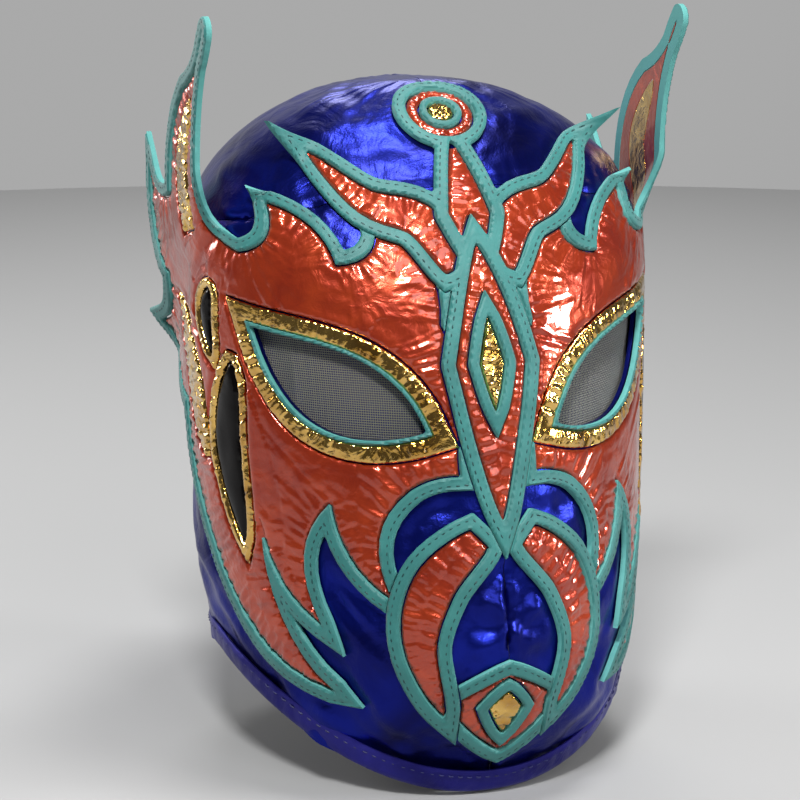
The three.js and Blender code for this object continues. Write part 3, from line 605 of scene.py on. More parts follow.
def pattern_grid(zone, step=STEP):
    """Grid points over a zone, with those beside its edge moved on to it, and their distances."""
    wide_u, wide_v = np.meshgrid(np.arange(*FIELD_U, LOOK_STEP), np.arange(*FIELD_V, LOOK_STEP))
    near = zone(wide_u, wide_v) < LOOK_STEP
    us, vs = wide_u[near], wide_v[near]
    u, v = np.meshgrid(
        np.arange(us.min() - LOOK_STEP, us.max() + LOOK_STEP, step),
        np.arange(vs.min() - LOOK_STEP, vs.max() + LOOK_STEP, step),
    )
    d = zone(u, v)
    slope_v, slope_u = np.gradient(d, step)
    snap = np.abs(d) < 0.62 * step
    u = u - np.where(snap, d * slope_u, 0)
    v = v - np.where(snap, d * slope_v, 0)
    return u, v, np.where(snap, 0, d)


def rounded(d, radius, edge_share):
    """Height of a pad as a share of its thickness: a cut edge, then a round shoulder."""
    rest = 1 - np.clip(-d / radius, 0, 1)
    return edge_share + (1 - edge_share) * np.sqrt(1 - rest**2)


def along_edge(outline, u, v):
    """How far round an outline the nearest edge point lies, for folds that run square to a seam."""
    best, found, run = np.full(u.shape, 1e9), np.zeros(u.shape), 0.0
    for (u0, v0, u1, v1), t, away in sides_of(outline, u, v):
        size = math.hypot(u1 - u0, v1 - v0)
        found = np.where(away < best, run + t * size, found)
        best = np.minimum(best, away)
        run += size
    return found


# How each kind of inlay rises from the leather, in millimetres above its base.
def padded_lift(u, v, d, seed, outline):
    groove = 0.35 * np.exp(-(((-d - GROOVE_INSET) / 0.55) ** 2))
    return PADDED * rounded(d, 0.9, 0.72) - groove + 0.12 * noise(u / 9, v / 9, seed)


def crinkled(thickness, wave, reach, pucker, fold):
    """Foil that is drawn in by its seam: ridges a wave apart run square to the edge and fade over a reach."""

    def lift(u, v, d, seed, outline):
        run = along_edge(outline, u, v)
        ripple = noise(run / wave, d / (5 * wave), seed)
        ripple = ripple + 0.5 * noise(run / (0.45 * wave), d / (2 * wave), seed + 3)
        drawn = pucker * ripple * np.exp(np.clip(d, -60, 0) / reach) * smooth(0.25 - d / 1.5)
        folds = creases(u / 9, v / 9, seed) + 0.6 * creases(u / 3.6, v / 3.6, seed + 5)
        return thickness * rounded(d, 0.8, 0.4) + drawn + fold * folds + 0.5 * rounded(d, 4.0, 0.0)

    return lift


def patent_lift(u, v, d, seed, outline):
    return PATENT * rounded(d, 0.7, 0.4) + 0.9 * rounded(d, 5, 0) + 0.12 * noise(u / 6, v / 10, seed)


LIFTS = {
    "teal_leather": padded_lift,
    "orange_foil": crinkled(FOIL, 2.4, 9, 0.8, 0.14),
    "gold_foil": crinkled(GOLD, 1.9, 8, 0.75, 0.22),
    "black_patent": patent_lift,
}


def inlay(node, zone, kind, outline=None, sides=("",), seed=1):
    """The pieces of one node's name over a zone of the pattern, the wearer's left one as the pattern is."""
    u, v, d = pattern_grid(zone, FINE_STEP if kind == "gold_foil" else STEP)
    inside = main_bodies(d <= 0)
    for ending in sides:
        sign = SIGNS[ending]
        lift = LIFTS[kind](u, v, d, seed + (sign < 0) * 20, outline)

        def place(a, b, out):
            return carrier_offset(sign * a, b, out)

        points, faces, tops = closed_sheet(u, v, CLEARANCE + lift, CLEARANCE, inside, place, sign < 0)
        piece = add_mesh(f"{node}_dressed{ending}", points, faces, MATERIALS[kind], second_from=tops)
        dressed(piece, kind, node + ending)


def tubes(paths, radius, sides):
    """Points and faces of closed round tubes along paths."""
    turns = np.linspace(0, 2 * np.pi, sides, endpoint=False)[:, None]
    around = [(side, (side + 1) % sides) for side in range(sides)]
    rings, faces = [], []
    for path in paths:
        along = unit(np.gradient(path, axis=0))
        aside = np.cross(along[0], [0.31, 0.27, 0.91])
        faces.append(tuple(len(rings) * sides + side for side in reversed(range(sides))))
        for step, (at, ahead) in enumerate(zip(path, along)):
            low = (len(rings) - 1) * sides
            if step:
                faces += [(low + a, low + b, low + sides + b, low + sides + a) for a, b in around]
            aside = unit(aside - (aside @ ahead) * ahead)
            rings.append(at + radius * (np.cos(turns) * aside + np.sin(turns) * np.cross(ahead, aside)))
        faces.append(tuple((len(rings) - 1) * sides + side for side in range(sides)))
    return np.concatenate(rings), faces


def level_lines(u, v, d, level):
    """Chains of points along which d is at a level, walked from cell to cell."""
    above = d > level
    count = above[:-1, :-1].astype(int) + above[:-1, 1:] + above[1:, 1:] + above[1:, :-1]
    links, places = {}, {}
    for r, c in zip(*np.nonzero((count > 0) & (count < 4))):
        ring = [(r, c), (r, c + 1), (r + 1, c + 1), (r + 1, c)]
        crossed = []
        for a, b in zip(ring, ring[1:] + ring[:1]):
            if above[a] != above[b]:
                key = (min(a, b), max(a, b))
                share = (level - d[a]) / (d[b] - d[a])
                places[key] = (u[a] + share * (u[b] - u[a]), v[a] + share * (v[b] - v[a]))
                crossed.append(key)
        for a, b in zip(crossed[::2], crossed[1::2]):
            links.setdefault(a, []).append(b)
            links.setdefault(b, []).append(a)
    chains = []
    while links:
        key = next(iter(links))
        chain = []
        while key is not None:
            chain.append(places[key])
            key = next((near for near in links.pop(key) if near in links), None)
        chains.append(np.array(chain))
    return chains


def stitches(name, edge, held_by, sides=("",), out=CLEARANCE + PADDED - 0.3):
    """Thread stitches a little inside an edge, where the leather that they hold is there."""
    u, v, d = pattern_grid(edge, 2 * STEP)
    half = STITCH["length"] / 2
    marks = []
    for line in level_lines(u, v, d, -STITCH["inset"]):
        length = lengths(line)
        for middle in np.arange(STITCH["pitch"], length[-1] - half, STITCH["pitch"]):
            at = middle + half * STITCH_SHARES
            marks.append(np.stack([np.interp(at, length, line[:, 0]), np.interp(at, length, line[:, 1])], -1))
    marks = np.array(marks)
    middle = marks[:, len(STITCH_SHARES) // 2]
    marks = marks[held_by(middle[:, 0], middle[:, 1]) < -0.8]
    rise = out - STITCH["sink"] * STITCH_SHARES**2 + 0 * marks[..., 0]
    for ending in sides:
        sign = SIGNS[ending]
        paths = carrier_offset(sign * marks[..., 0], marks[..., 1], rise)
        points, faces = tubes(paths, STITCH["radius"], STITCH["sides"])
        dressed(add_mesh(f"{name}_stitches{ending}", points, faces, [THREAD]), "lace")


def stitched_frame(node, edge, zone, sides=("",), seed=1):
    inlay(node, zone, "teal_leather", None, sides, seed)
    stitches(node, edge, zone, sides)


# Materials.
def principled(name, values):
    material = bpy.data.materials.new(name)
    material.use_nodes = True
    sockets = material.node_tree.nodes["Principled BSDF"].inputs
    for socket, value in values.items():
        sockets[socket].default_value = value
    return material


def link(material, source, target):
    material.node_tree.links.new(source, target)


def add_texture(material, kind, values):
    nodes = material.node_tree.nodes
    texture = nodes.new(kind)
    for socket, value in values.items():
        texture.inputs[socket].default_value = value
    link(material, nodes.new("ShaderNodeTexCoord").outputs["Object"], texture.inputs["Vector"])
    return texture


def add_noise(material, scale, detail=4, distortion=0.0):
    values = {"Scale": scale, "Detail": detail, "Distortion": distortion}
    return add_texture(material, "ShaderNodeTexNoise", values).outputs["Fac"]


def add_cells(material, scale):
    texture = add_texture(material, "ShaderNodeTexVoronoi", {"Scale": scale})
    texture.feature = "DISTANCE_TO_EDGE"
    return texture.outputs["Distance"]


def add_bump(material, height, strength, distance):
    """A bump over whatever bump the material has already."""
    nodes = material.node_tree.nodes
    normal = nodes["Principled BSDF"].inputs["Normal"]
    bump = nodes.new("ShaderNodeBump")
    bump.inputs["Strength"].default_value = strength
    bump.inputs["Distance"].default_value = distance
    if normal.is_linked:
        link(material, normal.links[0].from_socket, bump.inputs["Normal"])
    link(material, height, bump.inputs["Height"])
    link(material, bump.outputs["Normal"], normal)


def vary(material, socket, factor, low, high, start=0.3, end=0.7):
    """A colour or a share of grey that follows a texture between two ends."""
    ramp = material.node_tree.nodes.new("ShaderNodeValToRGB")
    first, last = ramp.color_ramp.elements
    first.position, last.position = start, end
    first.color, last.color = low, high
    link(material, factor, ramp.inputs["Fac"])
    link(material, ramp.outputs["Color"], material.node_tree.nodes["Principled BSDF"].inputs[socket])


def grey(share):
    return (share, share, share, 1)


def blue_leather(name, low, high, roughness):
    material = principled(name, {"Metallic": 0.85, "Roughness": roughness})
    vary(material, "Base Color", add_noise(material, 28, 5, 0.6), low, high)
    add_bump(material, add_noise(material, 55, 6, 1.2), 0.5, 0.0016)
    add_bump(material, add_cells(material, 900), 0.12, 0.0003)
    add_bump(material, add_noise(material, 420, 3), 0.3, 0.0003)
    return material


def foil(name, low, high, metallic, roughness, strength):
    """Coloured metal under a clear glossy film."""
    values = {"Metallic": metallic, "Roughness": roughness, "Coat Weight": 1.0, "Coat Roughness": 0.06}
    material = principled(name, values)
    vary(material, "Base Color", add_noise(material, 60, 3, 0.8), low, high)
    add_bump(material, add_noise(material, 130, 4, 1.6), strength, 0.002)
    add_bump(material, add_cells(material, 260), 0.3 * strength, 0.001)
    return material


def teal_leather():
    material = principled("teal leather", {"Roughness": 0.55, "Sheen Weight": 0.12})
    low, high = (0.014, 0.125, 0.118, 1), (0.026, 0.178, 0.166, 1)
    vary(material, "Base Color", add_noise(material, 70, 4), low, high)
    add_bump(material, add_noise(material, 300, 4), 0.3, 0.0004)
    add_bump(material, add_cells(material, 1400), 0.12, 0.0002)
    return material


def plain(name, colour, metallic, roughness, grain=0.0, specular=0.5):
    values = {"Base Color": colour, "Metallic": metallic, "Roughness": roughness}
    material = principled(name, values | {"Specular IOR Level": specular})
    if grain:
        add_bump(material, add_noise(material, 200, 4), grain, 0.0004)
    return material


BLUE = blue_leather("blue leather", (0.002, 0.003, 0.07, 1), (0.004, 0.012, 0.25, 1), 0.3)
# The hem is the hood's blue leather in lighter colours, a painted highlight.
BLUE_HEM_PAINTED_HIGHLIGHT = blue_leather("turned blue hem painted highlight", (0.012, 0.010, 0.12, 1), (0.03, 0.028, 0.26, 1), 0.42)
TEAL_EDGE = plain("cut teal edge", (0.08, 0.30, 0.28, 1), 0.0, 0.8, 0.3)
THREAD = plain("dark green thread", (0.004, 0.045, 0.045, 1), 0.0, 0.6)
HEM_THREAD = plain("blue thread", (0.01, 0.012, 0.09, 1), 0.0, 0.6)
MATERIALS = {
    "blue_leather": [BLUE],
    "teal_leather": [teal_leather(), TEAL_EDGE],
    "orange_foil": [foil("orange foil", (0.29, 0.020, 0.004, 1), (0.45, 0.046, 0.008, 1), 0.55, 0.28, 0.22)],
    "gold_foil": [foil("gold foil", (0.50, 0.25, 0.03, 1), (0.95, 0.62, 0.16, 1), 1.0, 0.14, 0.35)],
    "black_patent": [plain("black patent", (0.002, 0.0015, 0.0015, 1), 0.0, 0.1, 0.25, 0.2)],
    "eye_mesh": [plain("eye mesh wire", (0.30, 0.30, 0.29, 1), 0.5, 0.45)],
    "brass": [plain("brass", (0.72, 0.46, 0.14, 1), 1.0, 0.25)],
    "lace": [plain("lace", (0.012, 0.016, 0.03, 1), 0.0, 0.8, 0.6)],
}

# The zones of the pattern.
eye = eye_outline()
leaves = [ribbon(LONG_LEAF), ribbon(SHORT_LEAF)]
bridge, tall, bridge_gold = spindle(BRIDGE), spindle(TALL_FLAME), spindle(BRIDGE_GOLD)
flame = ribbon(CREST_FLAME)
flames = [flame, mirrored(flame)]
fang = ribbon(FANG)
chin, chin_gold = spindle(CHIN), spindle(CHIN_GOLD)
field = stretches(SIDE_FIELD)
golds = {"upper": ribbon(UPPER_GOLD), "lower": ribbon(LOWER_GOLD)}


def surround(reach):
    return joined(widened(eye, EYE_SURROUND + reach), *(widened(leaf, GOLD_RIM + reach) for leaf in leaves))


def disc_zone(part, reach=0.0):
    return inside_of(disc(DISC["v"], DISC[part] + reach))


def crest_edge(reach):
    outlines = [bridge, tall, *flames]
    return joined(*(widened(outline, BORDER + reach) for outline in outlines), disc_zone("frame", reach))


def beside(outline, reach, *others):
    """A band round an outline, clear of what lies inside it and of other zones."""
    return cut(widened(outline, reach), widened(outline, CLEARANCE), *others)


crest_zone = crest_edge(CLEARANCE)
fang_zone = widened(fang, BORDER + CLEARANCE)
both_fangs = [fang_zone, widened(mirrored(fang), BORDER + CLEARANCE)]
gold_zone = surround(CLEARANCE)
crest_windows = [
    widened(bridge, CLEARANCE),
    disc_zone("foil", CLEARANCE),
    cut(widened(tall, CLEARANCE), widened(bridge, BORDER)),
    *(cut(widened(outline, CLEARANCE), widened(bridge, BORDER), widened(tall, BORDER)) for outline in flames),
]
side_edge, fang_edge, chin_edge = (widened(outline, BORDER) for outline in (field, fang, chin))
dressing = joined(side_edge, surround(0), crest_edge(0), fang_edge, chin_edge)


# The face.
def dress_eyes():
    ring = cut(surround(0), widened(eye, BINDING_SHOWN), *(widened(leaf, CLEARANCE) for leaf in leaves))
    inlay("eye_surround", ring, "gold_foil", eye, BOTH, 3)
    inlay("eye_binding", cut(widened(eye, BINDING_SHOWN), inside_of(eye)), "teal_leather", None, BOTH, 4)
    for name, leaf in zip(("long", "short"), leaves):
        inlay(f"{name}_black_leaf", inside_of(leaf), "black_patent", None, BOTH, 5)


def dress_crest():
    stitched_frame("crest_frame", crest_edge(0), cut(crest_edge(0), *crest_windows), seed=6)
    bridge_foil = cut(inside_of(bridge), widened(bridge_gold, GOLD_RIM + CLEARANCE))
    inlay("bridge_foil", bridge_foil, "orange_foil", bridge)
    inlay("bridge_rim", beside(bridge_gold, GOLD_RIM), "teal_leather", seed=7)
    inlay("bridge_gold", inside_of(bridge_gold), "gold_foil", bridge_gold, seed=8)
    above_bridge = widened(bridge, BORDER + CLEARANCE)
    tall_foil = cut(inside_of(tall), above_bridge, disc_zone("frame"))
    inlay("tall_flame_foil", tall_foil, "orange_foil", tall, seed=9)
    flame_foil = cut(inside_of(flame), above_bridge, widened(tall, BORDER + CLEARANCE))
    inlay("crest_flame_foil", flame_foil, "orange_foil", flame, BOTH, 10)
    disc_foil = cut(disc_zone("foil"), disc_zone("ring", CLEARANCE))
    inlay("disc_foil", disc_foil, "orange_foil", disc(DISC["v"], DISC["foil"]), seed=11)
    inlay("disc_rim", cut(disc_zone("ring"), disc_zone("gold", CLEARANCE)), "teal_leather", seed=12)
    inlay("disc_gold", disc_zone("gold"), "gold_foil", disc(DISC["v"], DISC["gold"]), seed=13)


def dress_cheeks():
    stitched_frame("fang_frame", fang_edge, beside(fang, BORDER, crest_zone), BOTH, 14)
    inlay("fang_foil", cut(inside_of(fang), crest_zone), "orange_foil", fang, BOTH, 15)
    others = [gold_zone, crest_zone, fang_zone]
    stitched_frame("side_frame", side_edge, beside(field, BORDER, *others), BOTH, 16)
    others.extend(widened(gold, CLEARANCE) for gold in golds.values())
    inlay("side_foil", cut(inside_of(field), *others), "orange_foil", field, BOTH, 17)
    for name, gold in golds.items():
        inlay(f"{name}_gold_flame", common(inside_of(gold), inside_of(field)), "gold_foil", gold, BOTH, 18)


def dress_chin():
    stitched_frame("chin_frame", chin_edge, beside(chin, BORDER, *both_fangs), seed=19)
    foil_zone = cut(inside_of(chin), widened(chin_gold, GOLD_RIM + CLEARANCE), *both_fangs)
    inlay("chin_foil", foil_zone, "orange_foil", chin, seed=20)
    inlay("chin_rim", beside(chin_gold, GOLD_RIM), "teal_leather", seed=21)
    inlay("chin_gold", inside_of(chin_gold), "gold_foil", chin_gold, seed=22)


def eye_mesh(ending):
    """Woven wires behind the eye opening, each one over and under those that it crosses."""
    sign = SIGNS[ending]
    us, vs = np.arange(*WEAVE["u"], WEAVE["pitch"]), np.arange(*WEAVE["v"], WEAVE["pitch"])
    u, v = np.meshgrid(us, vs, indexing="ij")
    inside = widened(eye, WEAVE["margin"])(u, v) < 0
    over = WEAVE["wire"] * (1 - 2 * (np.add.outer(np.arange(len(us)), np.arange(len(vs))) % 2))
    middle = -LEATHER - 2 * CLEARANCE - MESH / 2
    wires = []
    for its_u, its_v, its_over, its_inside in ((u, v, over, inside), (u.T, v.T, -over.T, inside.T)):
        points = carrier_offset(sign * its_u, its_v, middle + its_over)
        wires.extend(row[shown] for row, shown in zip(points, its_inside) if shown.sum() > 2)
    points, faces = tubes(wires, WEAVE["wire"], WEAVE["sides"])
    woven = add_mesh(f"eye_mesh_woven{ending}", points, faces, MATERIALS["eye_mesh"])
    dressed(woven, "eye_mesh", "eye_mesh" + ending)


# The hood.
def middle_angle(below, x):
    width = HALF_WIDTH * section_value("width", below) * crown_share(below, "side")
    return np.arcsin(np.clip(x / np.maximum(width, 0.01), 0, 0.9))


def ear_angle(below, y):
    back = BACK_REACH * section_value("back", below) * crown_share(below, "back")
    return np.arccos(np.clip(-y / np.maximum(back, 0.01), -1, 1))


def half_round(below):
    """The length from the middle of the face round to the middle of the back."""
    return u_of(np.full(np.shape(below), np.pi), below)


def back_angle(w, below):
    return np.where(w < 0, -1, 1) * np.abs(angle_at(half_round(below) - np.abs(w), below))


def eyelet_holes(w, below):
    away = [np.hypot(w - EYELET["u"], below - row) for row in eyelet_rows()]
    return EYELET["hole"] + 0.3 - np.minimum.reduce(away)


def snapped(a, b, zone, reach):
    """Points beside a zone's edge moved on to it, and the distances."""
    d = zone(a, b)
    h = 0.05
    slope_a = (zone(a + h, b) - zone(a - h, b)) / (2 * h)
    slope_b = (zone(a, b + h) - zone(a, b - h)) / (2 * h)
    near = np.abs(d) < reach
    return a - np.where(near, d * slope_a, 0), b - np.where(near, d * slope_b, 0), np.where(near, 0, d)


def leather_wave(name, across, along, shift=0, shape=noise):
    height, wide, long, seed = WAVES[name]
    return height * shape(across / wide + shift, along / long, seed)


def seam_relief(away, along):
    """Beside a seam: a groove on it, a welt next to it, and puckers that fade from it."""
    away = np.abs(away)
    welt = WELT["height"] * np.exp(-(((away - WELT["away"]) / WELT["spread"]) ** 2))
    pucker = leather_wave("seam_pucker", along, away) + leather_wave("wide_pucker", along, away)
    return welt - np.exp(-(away**2)) + pucker * np.exp(-away / 7)


def face_relief(u, v, angle):
    """Gathers beside the middle seam under the nose, and folds that slant over the cheeks."""
    out = np.abs(u)
    gathers = leather_wave("chin_gather", out, v + 0.5 * out)
    gathers = gathers - leather_wave("chin_crease", u, v, shape=creases)
    side = np.where(angle > 0, 0, 100)
    slant_u, slant_v = 0.8 * out + 0.6 * v, 0.8 * v - 0.6 * out
    folds = leather_wave("cheek_fold", slant_u, slant_v, side)
    folds = folds + leather_wave("cheek_ripple", slant_u, slant_v, side)
    return smooth((-v - 30) / 20) * (gathers * np.exp(-out / 13) + folds)


def hood_relief(angle, below):
    """How far the leather stands off its plain form, with less of it under the appliques."""
    u, v = u_of(angle, below), v_of(below)
    x, y = hood_point(angle, below)[..., 0], hood_point(angle, below)[..., 1]
    forehead = below - seam_below(angle)
    ear = np.where(forehead > 0, y - EAR_SEAM_Y, FAR_FROM_SEAM)
    facing = smooth((EAR_SEAM_Y - y) / 30)
    total = seam_relief(forehead, u) + seam_relief(ear, below) + seam_relief(x, below)
    apart = np.hypot(u, forehead)
    fan = leather_wave("forehead_fan", np.arctan2(u, forehead + 0.01), apart)
    total += fan * smooth(apart / 8) * np.exp(-apart / 45) * (forehead > 0) * facing
    total += face_relief(u, v, angle) * facing
    total += leather_wave("neck_fold", u, v) * smooth((below - 140) / 60)
    total += leather_wave("slack", u, v) + leather_wave("fine_slack", u, v)
    total += leather_wave("crown_pinch", angle, below) * np.exp(-below / 12)
    free = 0.15 + 0.85 * smooth((dressing(np.abs(u), v) - 0.5) / 5)
    return smooth(below / 2.5) * np.clip(free * total, *RELIEF_LIMITS)


def cut_size(flat, inside):
    """Width, length and area in metres of the leather that a panel is cut from."""
    width = np.linalg.norm(np.diff(flat, axis=1), axis=-1).sum(1).max()
    length = np.linalg.norm(np.diff(flat, axis=0), axis=-1).sum(0).max()
    across, down = np.diff(flat, axis=1)[:-1], np.diff(flat, axis=0)[:, :-1]
    cells = np.linalg.norm(np.cross(across, down), axis=-1)
    return width * MM, length * MM, cells[inside[:-1, :-1]].sum() * MM**2


def no_holes(a, b):
    return np.full(a.shape, -100.0)


# The flat coordinates in which a panel's holes are cut, and the way back from them.
def face_flat(angle, below):
    return u_of(angle, below), v_of(below)


def face_round(u, v):
    below = below_at(v)
    return angle_at(u, below), below


def back_flat(angle, below):
    return half_round(below) - np.abs(u_of(angle, below)), below


def back_round(w, below):
    return back_angle(w, below), below


def eye_holes(u, v):
    return -inside_of(eye)(u, v)


def slit_half(below):
    return SEAM_HALF + (SLIT_HALF - SEAM_HALF) * smooth((below - SLIT_TOP + 1) / 2)


# The edges of the panels: angles round the head at a depth, and depths below the crown at an angle.
def middle_seam(below):
    return middle_angle(below, SEAM_HALF)


def crown_back(below):
    return np.pi - middle_seam(below)


def ear_front(below):
    return ear_angle(below, EAR_SEAM_Y - SEAM_HALF)


def ear_back(below):
    return ear_angle(below, EAR_SEAM_Y + SEAM_HALF)


def slit_edge(below):
    return np.pi - middle_angle(below, slit_half(below))


def apex(angle):
    return 0 * angle


def crown_bottom(angle):
    return seam_below(angle) - SEAM_HALF


def seam_top(angle):
    return seam_below(angle) + SEAM_HALF


def shares(node):
    """The shares down and across of each point of a leather piece."""
    rows, columns, first, power = GRIDS[node]
    return np.meshgrid(np.linspace(first, 1, rows) ** power, np.linspace(0, 1, columns), indexing="ij")


# Each panel's edges: in front, behind, above and below.
PANEL_EDGES = {
    "crown_panel": (middle_seam, crown_back, apex, crown_bottom),
    "face_panel": (middle_seam, ear_front, seam_top, hem_below),
    "nape_panel": (ear_back, slit_edge, seam_top, hem_below),
}
EDGE_ROUNDS = 8
# Where those rounds start, in mm below the crown.
EDGE_START = 100.0


def hood_panel(node, sign, holes=no_holes, ways=(face_flat, face_round)):
    """One leather panel with the holes of a zone cut through it, and the size it is cut to."""
    near, far, top, bottom = PANEL_EDGES[node]
    s, t = shares(node)
    below = np.full(s.shape, EDGE_START)
    for _ in range(EDGE_ROUNDS):
        angle = near(below) + (far(below) - near(below)) * t
        below = top(angle) + (bottom(angle) - top(angle)) * s
    flat = hood_point(angle, below)
    a, b, d = snapped(*ways[0](angle, below), holes, 0.6 * PANEL_STEP)
    moved_angle, moved_below = ways[1](a, b)
    angle, below = np.where(d == 0, moved_angle, angle), np.where(d == 0, moved_below, below)
    relief = hood_relief(sign * angle, below)
    under = 0.7 * relief - LEATHER
    points, faces, _ = closed_sheet(sign * angle, below, relief, under, d <= 0, hood_offset, sign > 0)
    ending = "_left" if sign > 0 else "_right"
    leather = add_mesh(f"{node}_leather{ending}", points, faces, MATERIALS["blue_leather"])
    return dressed(leather, "blue_leather", node + ending), cut_size(flat, d <= 0)


def hood():
    """The six panels and the turned hem, and the flap in the slit."""
    hem = hem_binding()
    for sign in (1, -1):
        crown, size = hood_panel("crown_panel", sign)
        face, size = hood_panel("face_panel", sign, eye_holes)
        nape, size = hood_panel("nape_panel", sign, eyelet_holes, (back_flat, back_round))
        if sign > 0:
            tongue(nape)


def hem_binding():
    """The turned hem, a soft band of the blue leather made lighter as a painted highlight, with a row of
    stitches near its upper edge.
    """
    end = np.pi - middle_angle(hem_below(np.pi), SLIT_HALF)
    share, across = shares("hem_binding")
    angle = end * (2 * across - 1)
    below = hem_below(angle) - HEM_WIDTH * (1 - share)
    edge = HEM_WIDTH * np.minimum(share, 1 - share)
    u = u_of(angle, below)
    pillow = HEM_THICKNESS * (0.45 + 0.55 * np.sqrt(1 - (1 - np.clip(edge / 2.5, 0, 1)) ** 2))
    pucker = leather_wave("hem_pucker", u, share) + leather_wave("hem_wave", u, share)
    top = CLEARANCE + pillow + pucker * smooth(edge / 2)
    inside = np.ones(angle.shape, bool)
    points, faces, _ = closed_sheet(angle, below, top, CLEARANCE, inside, hood_offset, True)
    band = dressed(add_mesh("hem_band", points, faces, [BLUE_HEM_PAINTED_HIGHLIGHT]), "blue_leather", "hem_binding")
    marks = []
    for middle in np.linspace(-end, end, HEM_STITCH["count"])[1:-1]:
        at = middle + HEM_STITCH["half_turn"] * STITCH_SHARES
        rise = CLEARANCE + HEM_THICKNESS + 0.05 - STITCH["sink"] * STITCH_SHARES**2
        marks.append(hood_offset(at, hem_below(at) - HEM_WIDTH + HEM_STITCH["inset"], rise))
    points, faces = tubes(marks, STITCH["radius"], STITCH["sides"])
    return [band, dressed(add_mesh("hem_stitches", points, faces, [HEM_THREAD]), "lace")]


def on_back(w, below, out):
    return hood_offset(back_angle(w, below), below, out)


def tongue(nape):
    """The leather flap inside the slit."""
    share, across = shares("back_tongue")
    w = TONGUE["half"] * (2 * across - 1)
    below = TONGUE["top"] + (BACK_HEM - HEM_WIDTH / 2 - TONGUE["top"]) * share
    free = smooth(3 * share)
    wave = 0.6 * (leather_wave("tongue_wave", w, below) + leather_wave("tongue_ripple", w, below))
    outer = wave * free - LEATHER - 2 * CLEARANCE - LACE_RADIUS * free
    inside = np.ones(w.shape, bool)
    points, faces, _ = closed_sheet(w, below, outer, outer - TONGUE["thickness"], inside, on_back)
    leather = add_mesh("back_tongue_leather", points, faces, MATERIALS["blue_leather"])
    flap = dressed(leather, "blue_leather", "back_tongue")
    width, length, _ = cut_size(on_back(w, below, 0 * w), inside)


# The lacing.
def eyelet_rows():
    return EYELET["first"] + EYELET["pitch"] * np.arange(EYELET["rows"])


def eyelets():
    """Turned brass rings: a round lip on the leather and a barrel through it."""
    hole, rim, height = EYELET["hole"], EYELET["rim"], EYELET["height"]
    bottom = -LEATHER - RING["through"]
    turn = np.linspace(0, np.pi, RING["lip_steps"])
    lip_r = (rim + hole) / 2 - (rim - hole) / 2 * np.cos(turn)
    lip_h = CLEARANCE + height * np.sin(turn)
    radius = np.concatenate([[hole], lip_r, [hole + 0.3, hole + 0.3]])
    rise = np.concatenate([[bottom], lip_h, [CLEARANCE, bottom]])
    angle = np.linspace(0, 2 * np.pi, RING["sides"], endpoint=False)
    around, across = np.arange(RING["sides"]), np.arange(len(radius))
    for number, below in enumerate(eyelet_rows(), 1):
        for sign, ending in ((1, "_left"), (-1, "_right")):
            at = (np.array(sign * EYELET["u"]), np.array(below))
            centre = on_back(*at, 0.0)
            normal = on_back(*at, 1.0) - centre
            aside = unit(np.cross(normal, [0, 0, 1]))
            other = np.cross(normal, aside)
            ring = np.cos(angle)[:, None] * aside + np.sin(angle)[:, None] * other
            points = centre + ring[:, None] * radius[None, :, None] + normal * rise[None, :, None]
            ids = np.add.outer(around * len(radius), across)
            corners = [ids, np.roll(ids, -1, 1), np.roll(np.roll(ids, -1, 0), -1, 1), np.roll(ids, -1, 0)]
            faces = [tuple(face) for face in np.stack(corners, -1).reshape(-1, 4).tolist()]
            name = f"eyelet_{number}_ring{ending}"
            piece = add_mesh(name, points.reshape(-1, 3), faces, MATERIALS["brass"])
            dressed(piece, "brass", f"eyelet_{number}{ending}")


def lace():
    """A bar across the first and last rows, a cross between each pair of rows, and a knot."""
    rows = eyelet_rows()
    over = 2 * CLEARANCE + EYELET["height"] + LACE_RADIUS
    u, last = EYELET["u"], EYELET["rows"] - 1
    bend = u - RUN["bend"] * LACE_RADIUS
    under, lip = -LEATHER - 0.6 * LACE_RADIUS, EYELET["height"] + 0.3
    reach = np.array([-u, -u, -bend, 0, bend, u, u])
    rise = np.array([under, lip, over, over, over, lip, under])
    pairs = [(0, 0), (last, last)]
    for row in range(last):
        pairs += [(row, row + 1), (row + 1, row)]
    runs = []
    for start, end in pairs:
        lifted = RUN["crossing_lift"] * np.sign(start - end) * (reach == 0)
        below = rows[start] + (rows[end] - rows[start]) * (reach / u + 1) / 2
        runs.append(spline(on_back(reach, below, rise + lifted), RUN["points"]))
    turn = np.linspace(0, 2 * np.pi, KNOT["points"])
    across, up = np.sin(turn) + 2 * np.sin(2 * turn), np.cos(turn) - 2 * np.cos(2 * turn)
    knot = KNOT["size"] * np.stack([across, -np.sin(3 * turn), up], -1)
    runs.append(on_back(np.array(0.01), rows[-1], over + KNOT["lift"]) + knot)
    points, faces = tubes(runs, RUN["thickness"] * LACE_RADIUS, RUN["sides"])
    dressed(add_mesh("back_lace_cord", points, faces, MATERIALS["lace"]), "lace", "back_lace")


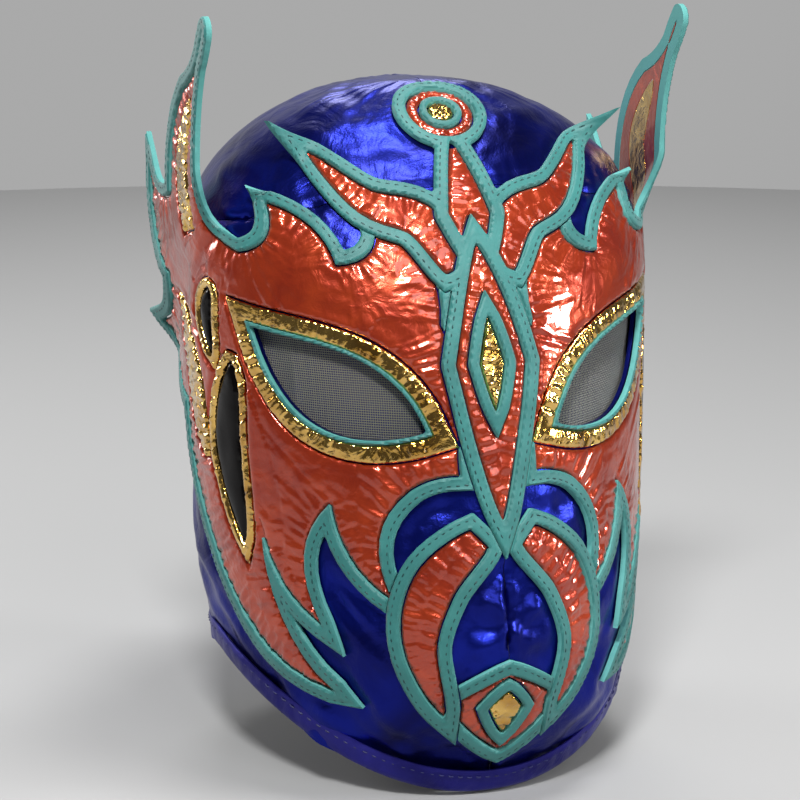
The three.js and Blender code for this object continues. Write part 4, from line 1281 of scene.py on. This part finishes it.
# The room: a pale floor, soft lights and the camera.
def area_light(name, place, aim, size, power):
    data = bpy.data.lights.new(name, "AREA")
    data.shape = "DISK"
    data.size, data.energy = size, power
    light = bpy.data.objects.new(name, data)
    light.location = place
    light.rotation_euler = (Vector(aim) - Vector(place)).to_track_quat("-Z", "Y").to_euler()
    bpy.context.scene.collection.objects.link(light)


def soft_world():
    """A dim room, lighter behind the head than in front of the face."""
    world = bpy.data.worlds.new("soft studio")
    world.use_nodes = True
    nodes = world.node_tree.nodes
    place = nodes.new("ShaderNodeTexCoord")
    parts = nodes.new("ShaderNodeSeparateXYZ")
    ramp = nodes.new("ShaderNodeValToRGB")
    first, last = ramp.color_ramp.elements
    first.position, last.position = 0.2, 0.9
    first.color, last.color = grey(0.09), grey(0.4)
    link(world, place.outputs["Generated"], parts.inputs["Vector"])
    link(world, parts.outputs["Y"], ramp.inputs["Fac"])
    link(world, ramp.outputs["Color"], nodes["Background"].inputs["Color"])
    return world


def room():
    """A round floor just below the hem, and the lights."""
    low = frame_box[0].z - FLOOR["gap"]
    turn = np.linspace(0, 2 * np.pi, FLOOR["sides"], endpoint=False)
    edge = np.stack([FLOOR["reach"] * np.cos(turn), FLOOR["reach"] * np.sin(turn), low + 0 * turn], -1)
    faces = [tuple(range(FLOOR["sides"]))]
    add_mesh("floor", edge / MM, faces, [plain("pale floor", grey(0.34), 0.0, 0.8)])
    bpy.context.scene.world = soft_world()
    bpy.context.scene.view_settings.view_transform = "Standard"
    for name, (place, size, power) in LIGHTS.items():
        area_light(name, place, (0, 0, low / 2), size, power)
    back = BACK_LIGHT
    area_light("back", back["place"], (*back["aim"], low), back["size"], back["power"])


def camera():
    turn = Euler((math.radians(90 - CAMERA["elevation"]), 0, math.radians(CAMERA["azimuth"])))
    away = turn.to_matrix() @ Vector((0, 0, CAMERA["distance"]))
    data = bpy.data.cameras.new("camera")
    data.lens, data.sensor_width = CAMERA["lens"], 36
    data.clip_start = 0.01
    view = bpy.data.objects.new("camera", data)
    view.location, view.rotation_euler = Vector(CAMERA["aim"]) + away, turn
    bpy.context.scene.collection.objects.link(view)
    bpy.context.scene.camera = view


dress_eyes()
for side in BOTH:
    eye_mesh(side)
dress_crest()
dress_cheeks()
dress_chin()
hood()
eyelets()
lace()
room()
camera()
